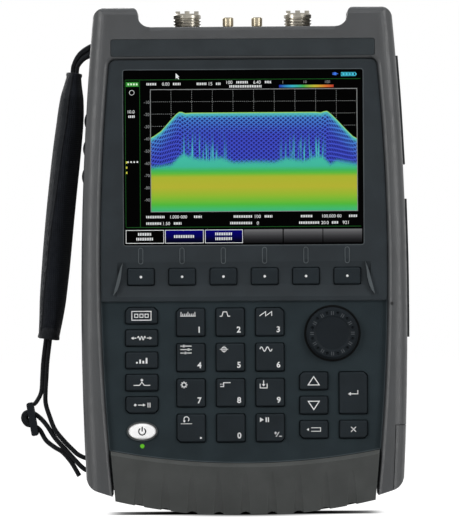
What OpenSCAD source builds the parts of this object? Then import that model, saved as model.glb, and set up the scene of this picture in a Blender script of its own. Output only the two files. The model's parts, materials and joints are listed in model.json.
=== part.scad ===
// Handheld spectrum analyzer, in millimetres.
// The front faces -Y and +Z is up. The origin is under the middle of the foot.

/* [Case] */
// Width of the case where it is widest
case_w = 188; // [187:0.5:192]
// Height from the foot to the tops of the horns
case_h = 292; // [291:0.5:300]
// Depth from the front of the rails to the back
case_d = 72; // [71:0.5:78]
// Radius of the bowed sides
side_radius = 1900; // [1400:50:2000]
// Height where the sides are widest
widest_z = 115; // [100:1:130]
// Thickness of the case walls
wall = 3; // [2.6:0.1:3.2]
// Width of the rails where they are narrowest
rail_w = 11; // [10.5:0.1:12.5]
// Radius of the bowed inner edges of the rails
window_radius = 1240; // [1150:10:1400]
// Height where the rails are narrowest
window_z = 142; // [138:1:146]
// Radius of the outer edge of the rails
rail_outer_r = 8; // [6:0.25:8.5]
// Radius of the inner edge of the rails
rail_inner_r = 3; // [2:0.25:3.25]
// Depth of the side guard, from the front to the parting line
guard_d = 28; // [27:0.5:29]
// Depth of the back panel below the rear rails
back_drop = 5.5; // [5.3:0.1:6.5]
// Gap between fixed pieces
fit_gap = 0.2; // [0.1:0.05:0.3]
// Gap between a moving piece and what is round it
run_gap = 0.4; // [0.3:0.05:0.5]

/* [Top] */
// Distance between the horns
horn_span = 121; // [119:0.5:124]
// Height of the horns above the bar
horn_rise = 11.25; // [11:0.25:14]
// Radius of the outer corner of a horn
horn_r = 7; // [5:0.5:8]
// Radius of the inner corner of a horn
horn_inner_r = 3.3; // [2:0.1:4]
// Radius where a horn meets the bar
horn_fillet_r = 7; // [5:0.5:7.5]
// Radius of the front and rear edges of the horns
horn_edge_r = 5; // [3:0.5:6]
// Radius of the upper edges of the bars
bar_edge_r = 2.5; // [1.5:0.25:3]
// Height of the bars above the face
bar_h = 18.75; // [17:0.25:20]
// Depth of the bars, front to back
bar_d = 10; // [9:0.25:11]
// Width of the name strip
strip_w = 152; // [140:1:152]
// Height of the name strip
strip_h = 9.75; // [9:0.25:11]
// Thickness of the name strip
strip_t = 1; // [0.8:0.1:1.5]

/* [Face] */
// Depth of the face below the rails
face_drop = 2.5; // [2.3:0.1:3]
// Thickness of the front plate
plate_t = 5.5; // [5.3:0.1:6]
// Thickness of the flange under the rails
flange_t = 2; // [1.6:0.1:2.2]
// Width of the display glass
glass_w = 137.7; // [134:0.1:139]
// Thickness of the display glass
glass_t = 1.8; // [1.2:0.1:2]
// Distance from the top of the face to the glass
glass_margin = 6.3; // [6:0.1:7]
// Depth of the scoop round the softkeys
scoop_depth = 1.3; // [0.8:0.1:1.5]
// Height of the scoop
scoop_h = 20; // [18:0.5:21]
// Width of the scoop
scoop_w = 146; // [143:1:148]
// Height of the keypad panel above the bumper
panel_h = 93.7; // [93:0.1:95]
// Depth of the keypad panel below the face
panel_drop = 2; // [1.5:0.1:2.2]
// Thickness of the keypad panel
panel_t = 1.5; // [1:0.1:1.6]

/* [Keys] */
// Travel of every key
key_travel = 1.2; // [0.8:0.1:1.3]
// Height of the keys above the keypad panel
key_rise = 1.8; // [1.5:0.1:2.2]
// Height of the softkeys above the face
softkey_rise = 0.5; // [0.2:0.1:0.9]
// Thickness of the base of a key
key_base_t = 1.5; // [1:0.1:1.6]
// Width of the base beyond the cap
key_base_rim = 1; // [0.8:0.1:1.1]
// Radius of the corners of a cap
key_corner_r = 1.3; // [0.8:0.1:1.8]
// Chamfer round the front of a cap
key_edge = 0.7; // [0.4:0.1:0.9]
// Cut at the outer corner of a block of keys
key_cut = 2.25; // [2:0.25:3.5]
// Width of a softkey
softkey_w = 15.3; // [14:0.1:17]
// Height of a softkey
softkey_h = 9.6; // [8:0.1:10.4]
// Distance between softkeys
softkey_pitch = 23.8; // [23:0.1:23.9]
// Width of a function key
function_w = 18.4; // [17:0.1:18.8]
// Height of a function key
function_h = 9.4; // [8:0.1:9.8]
// Distance between function keys
function_pitch = 12.87; // [12.7:0.05:13]
// Width of a digit key
digit_w = 16.2; // [15:0.1:17.5]
// Height of a digit key
digit_h = 16.1; // [14:0.1:17]
// Distance between columns of keys
column_pitch = 22.8; // [22.4:0.1:23]
// Distance between rows of digit keys
row_pitch = 20.35; // [20:0.05:20.6]
// Width of an arrow key
arrow_w = 16.1; // [15:0.1:17]
// Height of an arrow key
arrow_h = 10.2; // [9:0.1:11]
// Distance between arrow keys
arrow_pitch = 14; // [13.6:0.1:14.2]
// Width of the power key
power_w = 15.2; // [14:0.1:15.6]
// Height of the power key
power_h = 8.6; // [7.8:0.1:9]
// Width of the ring round the power key
power_ring = 1.35; // [1.2:0.05:1.6]
// Diameter of the status lens
lens_d = 2.3; // [1.8:0.1:2.8]

/* [Knob] */
// Diameter of the knob
knob_d = 30; // [27:0.5:30.5]
// Height of the knob above the floor of its well
knob_h = 5.5; // [5:0.1:5.8]
// Gap between the knob and the rim of its well
knob_gap = 1.1; // [0.8:0.1:1.2]
// Count of dimples in the knob
dimple_count = 12; // [8:1:16]
// Diameter of the shaft
shaft_d = 6; // [5:0.1:6.4]
// Clearance of the turning shafts and pins
turn_gap = 0.05; // [0.03:0.01:0.08]

/* [Foot] */
// Thickness of the bumper under the case
tread_t = 14; // [13:0.25:15]
// Width of the bumper at its top
tread_w = 156.5; // [152:0.5:156.5]
// Slant of the bumper's ends, in degrees
tread_slant = 5; // [3:0.5:6]
// Height of the bumper's upper edge in the middle
tread_low = 29; // [28:0.25:30]
// Radius of the bumper's upper edge
tread_top_r = 406; // [380:1:450]
// Radius of the bumper's lower edge
tread_bottom_r = 330; // [300:5:380]
// Bevel along the bumper's upper edge
tread_bevel = 2; // [1.2:0.1:2.4]
// Depth of the flat worn into the lower edge
tread_flat = 1; // [0.8:0.1:1.2]
// Distance between flutes
flute_pitch = 15.4; // [14.8:0.1:15.8]
// Radius of a flute
flute_r = 3.9; // [3:0.1:4.4]
// Depth of a flute
flute_depth = 1.3; // [0.8:0.1:1.5]
// Height at which the front flutes fade out
flute_top = 25; // [22:0.5:26]

/* [Connectors] */
// Depth of the connector panel below the bar
shelf_drop = 10.75; // [9:0.25:11]
// Thickness of the connector panel
shelf_t = 3; // [2.5:0.1:3.5]
// Thread diameter of the large coaxial ports
n_thread_d = 15.88; // [15.5:0.02:16]
// Distance between the large coaxial ports
n_span = 64; // [60:0.5:66]
// Height of the large coaxial ports above the panel
n_h = 20.5; // [19:0.25:21.5]
// Thread diameter of the small coaxial ports
sma_thread_d = 6.35; // [6.2:0.05:6.5]
// Distance between the small coaxial ports
sma_span = 16.7; // [15:0.1:18]
// Height of the small coaxial ports above the panel
sma_h = 16.8; // [15:0.1:17.5]

/* [Doors] */
// Thickness of the doors
door_t = 3; // [2.6:0.1:3.2]
// How far the port doors stand proud of the side
door_proud = 1.6; // [0.6:0.1:1.8]
// Height of the top of the battery door
battery_door_z = 50.5; // [50:0.25:51]
// Width of the battery door, seen from the front
battery_door_w = 5.8; // [5.5:0.1:6.2]
// Radius of the hinge barrels
barrel_r = 3; // [2.8:0.1:3.2]
// Radius of the hinge pins
pin_r = 1.5; // [1.2:0.05:1.6]
// Depth of a hinge pin below the side
hinge_depth = 4; // [3.8:0.1:4.2]

/* [Back] */
// Distance from the lowest fin to the bail's hinge
bail_drop = 28; // [24:0.5:32]
// Height of the bail's lower end
bail_low = 50; // [46:0.5:60]
// Width of the bail
bail_w = 100; // [90:1:104]
// Width of the bail's bars
bail_bar = 6; // [5:0.25:7]
// Thickness of the bail
bail_t = 4; // [3.5:0.1:4.2]
// Count of cooling fins
fin_count = 7; // [5:1:7]
// Distance between cooling fins
fin_pitch = 12; // [10:0.5:12.5]
// Radius of the case screws
screw_r = 1.5; // [1.25:0.05:1.6]

/* [Strap] */
// Width of the webbing
web_w = 16; // [14:0.5:17]
// Thickness of the webbing
web_t = 2; // [1.6:0.1:2.2]
// Width of the padded grip
pad_w = 44; // [38:1:48]
// Thickness of the padded grip
pad_t = 13.6; // [12:0.2:14]
// Radius of the bars that hold the webbing
strap_bar_r = 2; // [1.8:0.1:2.1]

/* [Hidden] */
DIGIT_KEYS = ["digit_key_1", "digit_key_2", "digit_key_3", "digit_key_4", "digit_key_5", "digit_key_6",
    "digit_key_7", "digit_key_8", "digit_key_9", "point_key", "digit_key_0", "sign_key"];
ARROW_KEYS = ["up_key", "down_key", "back_key", "enter_key", "escape_key"];

$fn = 48;
side_fn = 720;
arc_steps = 6;
far = 260;
half_w = case_w / 2;

// Depths, from the front to the back
front_y = -case_d / 2;
rear_y = case_d / 2;
face_y = front_y + face_drop;
plate_y = face_y + plate_t;
flange_y = plate_y - flange_t;
split_y = front_y + guard_d;
back_y = rear_y - back_drop;
inside_y = back_y - wall;
panel_y = face_y + panel_drop;
pocket_y = panel_y + panel_t;
key_y = panel_y - key_rise;
softkey_y = face_y - softkey_rise;
key_base_y = plate_y + key_base_t;
mat_t = 1.5;
mat_y = key_base_y + key_travel + run_gap;
board_t = 1.6;
board_y = mat_y + mat_t;
display_y = 8 + plate_y;
main_board_y = split_y + 4;

// Heights, from the top down and from the foot up
bar_z = case_h - horn_rise;
face_z = bar_z - bar_h;
panel_z = tread_low + panel_h;
softkey_above_panel = 14.1;
softkey_z = panel_z + softkey_above_panel;
glass_above_softkeys = 18.4;
glass_low = softkey_z + glass_above_softkeys;
glass_h = face_z - glass_margin - glass_low;
glass_z = glass_low + glass_h / 2;
function_below_panel = 8.2;
function_z = panel_z - function_below_panel;
digit_below_panel = 12.2;
digit_z = panel_z - digit_below_panel;
knob_below_panel = 19;
knob_z = panel_z - knob_below_panel;
up_below_panel = 46.4;
up_z = panel_z - up_below_panel;
power_below_panel = 74.9;
power_z = panel_z - power_below_panel;
lens_below_panel = 83.4;
lens_z = panel_z - lens_below_panel;
floor_z = tread_t + wall;
shelf_z = bar_z - shelf_drop;
strip_lift = 1.9;
strip_z = face_z + strip_lift + strip_h / 2;

// Places across the front
function_x = -59.3;
digit_x = -31;
knob_x = 50.7;
arrow_x = 39.7;

// A bowed line as centre and radius, and its place at a height, some way in from it
function bow_x(bow, z, inset = 0) = bow[0] + sqrt((bow[2] - inset) ^ 2 - (z - bow[1]) ^ 2);
side_bow = [half_w - side_radius, widest_z, side_radius];
function side_x(z, inset = 0) = bow_x(side_bow, z, inset);
window_bow = [side_x(window_z) - rail_w - window_radius, window_z, window_radius];
function arc(c, r, from, to, n = arc_steps) =
    [for (i = [0 : n]) c + r * [cos(from + (to - from) * i / n), sin(from + (to - from) * i / n)]];
function mirrored(points) = [for (i = [len(points) - 1 : -1 : 0]) [-points[i].x, points[i].y]];
function rounded(w, h, r) = concat(
    arc([w / 2 - r, h / 2 - r], r, 0, 90), arc([r - w / 2, h / 2 - r], r, 90, 180),
    arc([r - w / 2, r - h / 2], r, 180, 270), arc([w / 2 - r, r - h / 2], r, 270, 360));

// A round corner between a bowed line and a level top. It starts just outside the line.
function corner(top, r, inset, bow) =
    let (c = [bow_x(bow, top - r, inset + r), top - r],
        lean = atan2(top - r - bow[1], c.x - bow[0]),
        start = c + (r + 1) * [cos(lean), sin(lean)])
    concat([[far, start.y], start], arc(c, r, lean + (90 - lean) / arc_steps, 90, arc_steps - 1));

// A level top with round corners, open below
function capped(top, r, inset, bow) =
    concat([[-far, -far], [far, -far]], corner(top, r, inset, bow), mirrored(corner(top, r, inset, bow)));

// Front outline of the case: toes beside the slanted ends of the bumper, sides, horns and bar
tread_peak = 45;
function tread_end(z) = tread_w / 2 - (tread_peak - z) * tan(tread_slant);
toe_gap = 1.1;
toe_x = tread_end(tread_t) + toe_gap;
toe_z = 10.3;
toe_r = 9;
toe_slope = 18;
toe_c = [side_x(toe_z + toe_r, toe_r), toe_z + toe_r * cos(toe_slope)
    + (side_x(toe_z + toe_r, toe_r) + toe_r * sin(toe_slope) - toe_x) * tan(toe_slope)];
horn_x = horn_span / 2;
outline_half = concat(
    [[toe_x, tread_t], [toe_x, toe_z]],
    arc(toe_c, toe_r, toe_slope - 90, -12),
    [[toe_c.x + toe_r + 3, toe_c.y], [far, toe_c.y]],
    corner(case_h, horn_r, 0, side_bow),
    arc([horn_x + horn_inner_r, case_h - horn_inner_r], horn_inner_r, 90, 180),
    arc([horn_x - horn_fillet_r, bar_z + horn_fillet_r], horn_fillet_r, 0, -90));

// Extrudes a front view from one depth to another
module slab(y0, y1) {
    translate([0, y1, 0]) rotate([90, 0, 0]) linear_extrude(y1 - y0) children();
}

// Extrudes a side view, drawn as depth and height, from one x to another
module beam(x0, x1) {
    translate([x0, 0, 0]) rotate([90, 0, 90]) linear_extrude(x1 - x0) children();
}

module block(low, high) {
    translate(low) cube(high - low);
}

// A rod along Y
module rod(x, z, r, y0, y1) {
    translate([x, y1, z]) rotate([90, 0, 0]) cylinder(r = r, h = y1 - y0);
}

// The lens shape between a bowed line and its mirror image, some way in
module lens(inset, bow) {
    intersection() {
        translate([bow[0], bow[1]]) circle(r = bow[2] - inset, $fn = side_fn);
        translate([-bow[0], bow[1]]) circle(r = bow[2] - inset, $fn = side_fn);
    }
}

// Sweeps a section along a bowed line on the right. Its points are depth under the line and y.
module sweep(section, bow) {
    translate([bow[0], 0, bow[1]]) rotate([90, 0, 0])
        rotate_extrude(angle = 20, start = -8, $fn = side_fn)
            polygon([for (p = section) [bow[2] - p.x, -p.y]]);
}

// The part of a sweep between two heights
module sweep_between(section, z0, z1, bow = side_bow) {
    intersection() {
        sweep(section, bow);
        block([0, -far, z0], [far, far, z1]);
    }
}

function box_section(d0, d1, y0, y1) = [[d0, y0], [d1, y0], [d1, y1], [d0, y1]];

// Half of the case as a solid, from its rounded face at y_end to the parting line
module envelope(y_end, y_in) {
    toward = sign(y_in - y_end);
    c = [rail_outer_r, y_end + toward * rail_outer_r];
    section = concat(
        [for (i = [0 : arc_steps + 2]) c - rail_outer_r
            * [cos(90 * i / (arc_steps + 2)), toward * sin(90 * i / (arc_steps + 2))]],
        [[case_w + 40, y_end], [case_w + 40, y_in], [0, y_in]]);
    intersection() {
        sweep(section, side_bow);
        mirror([1, 0, 0]) sweep(section, side_bow);
        slab(min(y_end, y_in) - 1, max(y_end, y_in) + 1)
            polygon(concat(outline_half, mirrored(outline_half)));
        beam(-far, far) edge_profile(y_end, y_in);
    }
}

// Side view of the case with the rounded upper edge of the horns
module edge_profile(y_end, y_in) {
    toward = sign(y_in - y_end);
    c = [y_end + toward * horn_edge_r, case_h - horn_edge_r];
    polygon(concat([[y_in + toward, -far], [y_end - toward, -far], [y_end - toward, c.y]],
        [for (i = [1 : arc_steps]) c + horn_edge_r
            * [-toward * cos(90 * i / arc_steps), sin(90 * i / arc_steps)]],
        [[y_in + toward, case_h]]));
}

// What is cut from the upper edge of a bar
module bar_edge(y_end, toward) {
    c = [y_end + toward * bar_edge_r, bar_z - bar_edge_r];
    beam(horn_fillet_r - horn_x, horn_x - horn_fillet_r)
        polygon(concat([[y_end - toward, bar_z + 1], [y_end - toward, c.y]],
            [for (i = [1 : arc_steps - 1]) c + bar_edge_r
                * [-toward * cos(90 * i / arc_steps), sin(90 * i / arc_steps)]],
            [[c.x, bar_z + 1]]));
}

// The space inside both halves of the case
module cavity(y0, y1) {
    slab(y0, y1) intersection() {
        lens(wall, side_bow);
        translate([-far, floor_z]) square([2 * far, face_z - floor_z]);
    }
}

// The opening inside the rails, seen from the front, some way in from its edge
window_r = 4;
module window(inset) {
    intersection() {
        lens(inset, window_bow);
        polygon(capped(face_z - inset, window_r, inset, window_bow));
    }
}

// The space between the horns: a shelf for the connector panel and a hole under it
shelf_x = horn_x - 2.3;
shelf_ledge = 3;
shelf_y = -front_y - bar_d;
module connector_well() {
    block([-shelf_x, -shelf_y, shelf_z - shelf_t], [shelf_x, shelf_y, case_h + 1]);
    block([shelf_ledge - shelf_x, shelf_ledge - shelf_y, face_z - 1],
        [shelf_x - shelf_ledge, shelf_y - shelf_ledge, case_h]);
}

// Inner round of the rails and of the bar. Points are distance outside the opening and y.
round_over = 0.5;
round_tool = concat([[rail_inner_r, front_y - round_over]],
    [for (i = [1 : arc_steps]) [rail_inner_r, front_y + rail_inner_r] - rail_inner_r
        * [sin(90 * i / arc_steps), cos(90 * i / arc_steps)]],
    [[-round_over, front_y + rail_inner_r], [-round_over, front_y - round_over]]);
module rail_rounds() {
    c = [bow_x(window_bow, face_z - window_r, window_r), face_z - window_r];
    for (side = [0, 1]) mirror([side, 0, 0]) {
        sweep_between([for (p = round_tool) [-p.x, p.y]], -1, c.y, window_bow);
        translate([c.x, 0, c.y]) rotate([90, 0, 0]) rotate_extrude(angle = 90)
            polygon([for (p = round_tool) [window_r + p.x, -p.y]]);
    }
    beam(-c.x, c.x) polygon([for (p = round_tool) [p.y, face_z + p.x]]);
}

// Screws: place and depth of the head
mid_screw_z = (softkey_z + softkey_h / 2 + glass_z - glass_h / 2) / 2 - 1;
low_screw_z = panel_z - 66.7;
horn_screw = [72, bar_z - 5];
mid_screw = [72, mid_screw_z];
low_screw = [77, low_screw_z];
screw_spots = [horn_screw, mid_screw, low_screw];
screw_gap = 0.3;
head_r = 2 * screw_r;
head_t = 2;
head_sink = 0.2;
boss_r = 4.4;
screw_tip_y = split_y - 12;
module at_screws(spots) {
    for (p = spots, s = [-1, 1]) translate([s * p.x, 0, p.y]) children();
}

// Doors in the right side. Each has a hinge at its rear edge.
hinge_y = inside_y - 0.5;
swing = hinge_depth + door_proud + 1.2;
door_front_y = split_y + 3;
battery_zone = [toe_z, battery_door_z];
doors_low = panel_z - 21.5;
doors_high = face_z + 2;
doors_apart = 20;
lower_share = 0.56;
lower_zone = [doors_low, doors_low + lower_share * (doors_high - doors_low - doors_apart)];
upper_zone = [lower_zone[1] + doors_apart, doors_high];
knuckle_share = 0.22;
pin_gap = 0.02;
lug_l = 6;
bay_wall = 4;
bay_depth = door_t + 1.5;
function barrel_half(zone) = knuckle_share * (zone[1] - zone[0]);
function hinge_x(zone) = (side_x(zone[0]) + side_x(zone[1])) / 2 - hinge_depth;
function hinge_lean(zone) = atan2(side_x(zone[1]) - side_x(zone[0]), zone[1] - zone[0]);
module on_hinge(zone) {
    translate([hinge_x(zone), hinge_y, (zone[0] + zone[1]) / 2])
        rotate([0, hinge_lean(zone), 0]) children();
}

// The rear part of a hinge: two lugs with bores for the pin
module hinge_lugs(zone) {
    on_hinge(zone) for (s = [0, 1]) mirror([0, 0, s])
        translate([0, 0, barrel_half(zone) + run_gap]) cylinder(r = barrel_r, h = lug_l);
}

module hinge_bores(zone, gap) {
    l = barrel_half(zone) + run_gap + lug_l + 1;
    on_hinge(zone) translate([0, 0, -l]) cylinder(r = pin_r + gap, h = 2 * l);
}

// Room for the barrel of a door and for the edge that swings with it
module hinge_room(zone) {
    room = barrel_r + run_gap;
    half = barrel_half(zone) + run_gap;
    on_hinge(zone) translate([-room, -room, -half]) cube([2 * room, room + swing - 0.3, 2 * half]);
}

// The barrel of a door, and what its edge leaves free for the lugs
module door_barrel(zone) {
    difference() {
        union() {
            difference() {
                children();
                for (s = [0, 1]) on_hinge(zone) mirror([0, 0, s])
                    translate([-20, -barrel_r - 1.2, barrel_half(zone)]) cube([40, 40, 60]);
            }
            on_hinge(zone) translate([0, 0, -barrel_half(zone)])
                cylinder(r = barrel_r, h = 2 * barrel_half(zone));
        }
        hinge_bores(zone, turn_gap);
    }
}

// The opening in the case that the battery door closes
module battery_bay() {
    lip = battery_door_w + run_gap;
    side = door_t + run_gap;
    end_y = hinge_y + swing;
    sweep_between([[-9, front_y - 2], [lip, front_y - 2], [lip, flange_y], [side, flange_y], [side, end_y],
        [-9, end_y]], -1, battery_door_z + run_gap);
}

// A bay for a port door
module port_bay(zone) {
    sweep_between(box_section(-9, bay_depth, door_front_y - run_gap, hinge_y + swing),
        zone[0] - run_gap, zone[1] + run_gap);
}

// The strap's bars, as distance from the left side and height
strap_y = 4;
upper_bar = [5, bar_z - 12.25];
lower_bar = [5.5, 28.5];
strap_pocket_d = 10;
loop_r = strap_bar_r + 0.3 + web_t;
function left_x(p) = -side_x(p.y) + p.x;
module strap_pocket(bar) {
    y0 = strap_y - web_w / 2 - 1;
    y1 = strap_y + web_w / 2 + 1;
    mirror([1, 0, 0])
        sweep_between(box_section(-5, strap_pocket_d, y0, y1), bar.y - loop_r - 1, bar.y + loop_r + 1);
}

module strap_bar(bar) {
    rod(left_x(bar), bar.y, strap_bar_r, strap_y - web_w / 2 - 2, strap_y + web_w / 2 + 2);
}

// Side guard: rails, horns and front bar
module side_guard() {
    color([0.36, 0.37, 0.37]) difference() {
        envelope(front_y, split_y);
        slab(front_y - 2, flange_y) window(0);
        cavity(flange_y, split_y + 1);
        rail_rounds();
        bar_edge(front_y, 1);
        connector_well();
        slab(front_y - 1, front_y + strip_t + fit_gap) translate([0, strip_z])
            polygon(rounded(strip_w + 2 * fit_gap, strip_h + 2 * fit_gap, strip_r));
        rod(side_x(sensor_z) - 9, sensor_z, sensor_r, front_y - 1, front_y + 2);
        battery_bay();
        at_screws([horn_screw]) rod(0, 0, screw_r + turn_gap, screw_tip_y - 1, split_y + 1);
    }
}
sensor_z = panel_z - 2.1;
sensor_r = 0.9;
strip_r = 1.5;

module name_strip() {
    color([0.2, 0.21, 0.22]) slab(front_y + fit_gap, front_y + fit_gap + strip_t)
        translate([0, strip_z]) polygon(rounded(strip_w, strip_h, strip_r));
}

// Every key as name, place, size and the corner that is cut: left or right, up or down
softkeys = [for (i = [0 : 5])
    [str("softkey_", i + 1), [(i - 2.5) * softkey_pitch, softkey_z], [softkey_w, softkey_h], [0, 0]]];
function_keys = [for (i = [0 : 4])
    [str("function_key_", i + 1), [function_x, function_z - i * function_pitch], [function_w, function_h],
    i == 0 ? [2, 1] : i == 4 ? [2, -1] : [0, 0]]];
digit_keys = [for (row = [0 : 3], column = [0 : 2])
    [DIGIT_KEYS[3 * row + column], [digit_x + column * column_pitch, digit_z - row * row_pitch],
    [digit_w, digit_h], [row == 0 || row == 3 ? column - 1 : 0, row == 0 ? 1 : -1]]];
arrow_keys = [
    ["up_key", [arrow_x, up_z], [arrow_w, arrow_h], [-1, 1]],
    ["down_key", [arrow_x, up_z - arrow_pitch], [arrow_w, arrow_h], [0, 0]],
    ["back_key", [arrow_x, up_z - 2 * arrow_pitch], [arrow_w, arrow_h], [-1, -1]],
    ["enter_key", [arrow_x + column_pitch, up_z - arrow_pitch / 2],
        [arrow_w, arrow_h + arrow_pitch], [1, 1]],
    ["escape_key", [arrow_x + column_pitch, up_z - 2 * arrow_pitch], [arrow_w, arrow_h], [1, -1]]];
keypad_keys = concat(function_keys, digit_keys, arrow_keys);
power_key_data = ["power_key", [function_x, power_z], [power_w, power_h], [0, 0]];

// Outline of a cap, some way out from its edge
module cap_outline(key, grow) {
    size = key[2] + [2 * grow, 2 * grow];
    cut = key[3];
    translate(key[1]) difference() {
        polygon(rounded(size.x, size.y, key_corner_r));
        for (s = cut.x == 2 ? [-1, 1] : cut.x == 0 ? [] : [cut.x])
            translate([s * size.x / 2, cut.y * size.y / 2]) rotate(45)
                square(key_cut * sqrt(2), center = true);
    }
}

// Oval outline of the power key, some way out from its edge
power_steps = 40;
module power_outline(grow) {
    half = [power_w / 2 + grow, power_h / 2 + grow];
    translate(power_key_data[1]) polygon([for (i = [0 : power_steps - 1])
        let (turn = 360 * i / power_steps) [half.x * cos(turn), half.y * sin(turn)]]);
}

// Chamfers the front of a cap
module chamfered(key, y) {
    c = key[1];
    half = key[2] / 2;
    edge = key_edge;
    intersection() {
        children();
        beam(-far, far) polygon([[key_base_y, c.y - half.y - 3], [y + edge, c.y - half.y - 3],
            [y + edge, c.y - half.y], [y, c.y - half.y + edge], [y, c.y + half.y - edge],
            [y + edge, c.y + half.y], [y + edge, c.y + half.y + 3], [key_base_y, c.y + half.y + 3]]);
        linear_extrude(case_h) polygon([[c.x - half.x - 3, key_base_y], [c.x - half.x - 3, y + edge],
            [c.x - half.x, y + edge], [c.x - half.x + edge, y], [c.x + half.x - edge, y],
            [c.x + half.x, y + edge], [c.x + half.x + 3, y + edge], [c.x + half.x + 3, key_base_y]]);
    }
}

module key(data, y) {
    color([0.2, 0.22, 0.23]) chamfered(data, y) union() {
        slab(y, plate_y + 0.1) cap_outline(data, 0);
        slab(plate_y, key_base_y) cap_outline(data, key_base_rim);
    }
}

module power_key() {
    color([0.93, 0.94, 0.94]) chamfered(power_key_data, key_y) union() {
        slab(key_y, plate_y + 0.1) power_outline(0);
        slab(plate_y, key_base_y) power_outline(key_base_rim);
    }
}

// Front plate: window, scoop, key holes and bosses
board_boss_r = 2.6;
board_spots = [for (x = [(function_x + digit_x) / 2, digit_x + 2.55 * column_pitch],
    z = [panel_z + 2.3, panel_z - 62.7]) [x, z]];
glass_y = face_y + 0.5;
glass_back_y = glass_y + glass_t;
glass_ledge = 2.2;
tick_w = 2.9;
tick_h = 9.6;
tick_rise = 0.4;
panel_inset = 0.4;
panel_lift = 0.6;
pocket_grow = 2;

// The region above the bumper's upper edge, some way up from it
module above_tread(lift) {
    translate([0, tread_low + tread_top_r]) circle(r = tread_top_r - lift, $fn = side_fn);
}

// The keypad panel or its pocket, some way out at the top and elsewhere
module panel_outline(top_grow, grow) {
    intersection() {
        lens(panel_inset - grow, window_bow);
        above_tread(panel_lift - grow);
        translate([-far, -far]) square([2 * far, far + panel_z + top_grow]);
    }
}

module front_case() {
    color([0.2, 0.235, 0.25]) {
        difference() {
            union() {
                slab(face_y, flange_y + 0.1) intersection() {
                    window(fit_gap);
                    above_tread(0.3);
                }
                slab(flange_y, plate_y) intersection() {
                    lens(wall + fit_gap, side_bow);
                    translate([-far, floor_z + fit_gap]) square([2 * far, face_z - floor_z - 2 * fit_gap]);
                }
                for (k = softkeys) slab(face_y - tick_rise, face_y + 1)
                    translate([k[1].x, (softkey_z + softkey_h / 2 + glass_z - glass_h / 2) / 2])
                        polygon(rounded(tick_w, tick_h, tick_w / 2 - 0.05));
            }
            slab(face_y - 1, glass_back_y) translate([0, glass_z])
                square([glass_w + 2 * fit_gap, glass_h + 2 * fit_gap], center = true);
            slab(face_y - 1, plate_y + 1) translate([0, glass_z])
                square([glass_w - 2 * glass_ledge, glass_h - 2 * glass_ledge], center = true);
            scoop();
            slab(face_y - 1, pocket_y) panel_outline(fit_gap, pocket_grow);
            slab(face_y - 2, plate_y + 1) {
                for (k = concat(softkeys, keypad_keys)) cap_outline(k, run_gap);
                power_outline(run_gap);
            }
            rod(knob_x, knob_z, shaft_d / 2 + run_gap, face_y, plate_y + 1);
            rod(function_x, lens_z, lens_d / 2 + fit_gap, face_y, plate_y + 1);
            battery_bay();
        }
        for (p = board_spots) rod(p.x, p.y, board_boss_r, plate_y - 0.1, board_y);
        difference() {
            at_screws([mid_screw, low_screw]) rod(0, 0, boss_r, plate_y - 0.1, split_y);
            at_screws([mid_screw, low_screw]) rod(0, 0, screw_r + turn_gap, screw_tip_y - 1, split_y + 1);
        }
    }
}

// Hollow round the softkeys
module scoop() {
    r = (scoop_h ^ 2 / 4 + scoop_depth ^ 2) / (2 * scoop_depth);
    translate([-scoop_w / 2, face_y + scoop_depth - r, softkey_z - 1.5]) rotate([0, 90, 0])
        cylinder(r = r, h = scoop_w, $fn = 180);
}

module display_glass() {
    color([0.03, 0.04, 0.05]) slab(glass_y, glass_back_y) translate([0, glass_z])
        square([glass_w, glass_h], center = true);
}

module display_panel() {
    color([0.6, 0.62, 0.64]) {
        slab(plate_y, display_y) translate([0, glass_z]) square([glass_w + 10, glass_h + 5], center = true);
        slab(glass_back_y, plate_y + 0.1) translate([0, glass_z])
            square([glass_w - 2 * glass_ledge - 2 * fit_gap, glass_h - 2 * glass_ledge - 2 * fit_gap],
                center = true);
    }
}

// Plate under the keys, with a well for the knob
module keypad_panel() {
    color([0.14, 0.165, 0.185]) difference() {
        slab(panel_y, pocket_y) panel_outline(0, 0);
        slab(panel_y - 1, pocket_y + 1) {
            for (k = keypad_keys) cap_outline(k, run_gap);
            power_outline(power_ring + fit_gap);
        }
        rod(knob_x, knob_z, knob_d / 2 + knob_gap, panel_y - 1, pocket_y + 1);
        rod(function_x, lens_z, lens_d / 2 + fit_gap, panel_y - 1, pocket_y + 1);
    }
}

module power_bezel() {
    color([0.1, 0.1, 0.11]) slab(panel_y - 0.8, pocket_y) difference() {
        power_outline(power_ring);
        power_outline(run_gap);
    }
}

module status_lens() {
    color([0.35, 0.8, 0.25]) {
        rod(function_x, lens_z, lens_d / 2, panel_y - 0.3, plate_y + 0.5);
        rod(function_x, lens_z, lens_d / 2 + 1, plate_y, mat_y);
    }
}

module key_mat() {
    color([0.5, 0.5, 0.5]) slab(mat_y, board_y) difference() {
        mat_outline();
        for (p = board_spots) translate(p) circle(r = board_boss_r + run_gap);
        translate([knob_x, knob_z]) square(encoder_w + 2 * run_gap, center = true);
    }
}
encoder_w = 13;
mat_half = 71;

module mat_outline() {
    translate([-mat_half, lens_z - 3]) square([2 * mat_half, softkey_z + softkey_h / 2 - lens_z + 3.6]);
}

module keypad_board() {
    color([0.1, 0.35, 0.2]) slab(board_y, board_y + board_t) mat_outline();
}

module encoder_body() {
    color([0.4, 0.42, 0.42]) difference() {
        slab(plate_y, board_y) translate([knob_x, knob_z]) square(encoder_w, center = true);
        rod(knob_x, knob_z, shaft_d / 2 + turn_gap, plate_y - 1, board_y - 0.5);
    }
}

module encoder_shaft() {
    color([0.7, 0.7, 0.72]) rod(knob_x, knob_z, shaft_d / 2, knob_bore_y, board_y - 0.6);
}
knob_back_y = pocket_y - run_gap;
knob_front_y = knob_back_y - knob_h;
knob_bore_y = knob_front_y + 2.5;

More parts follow.
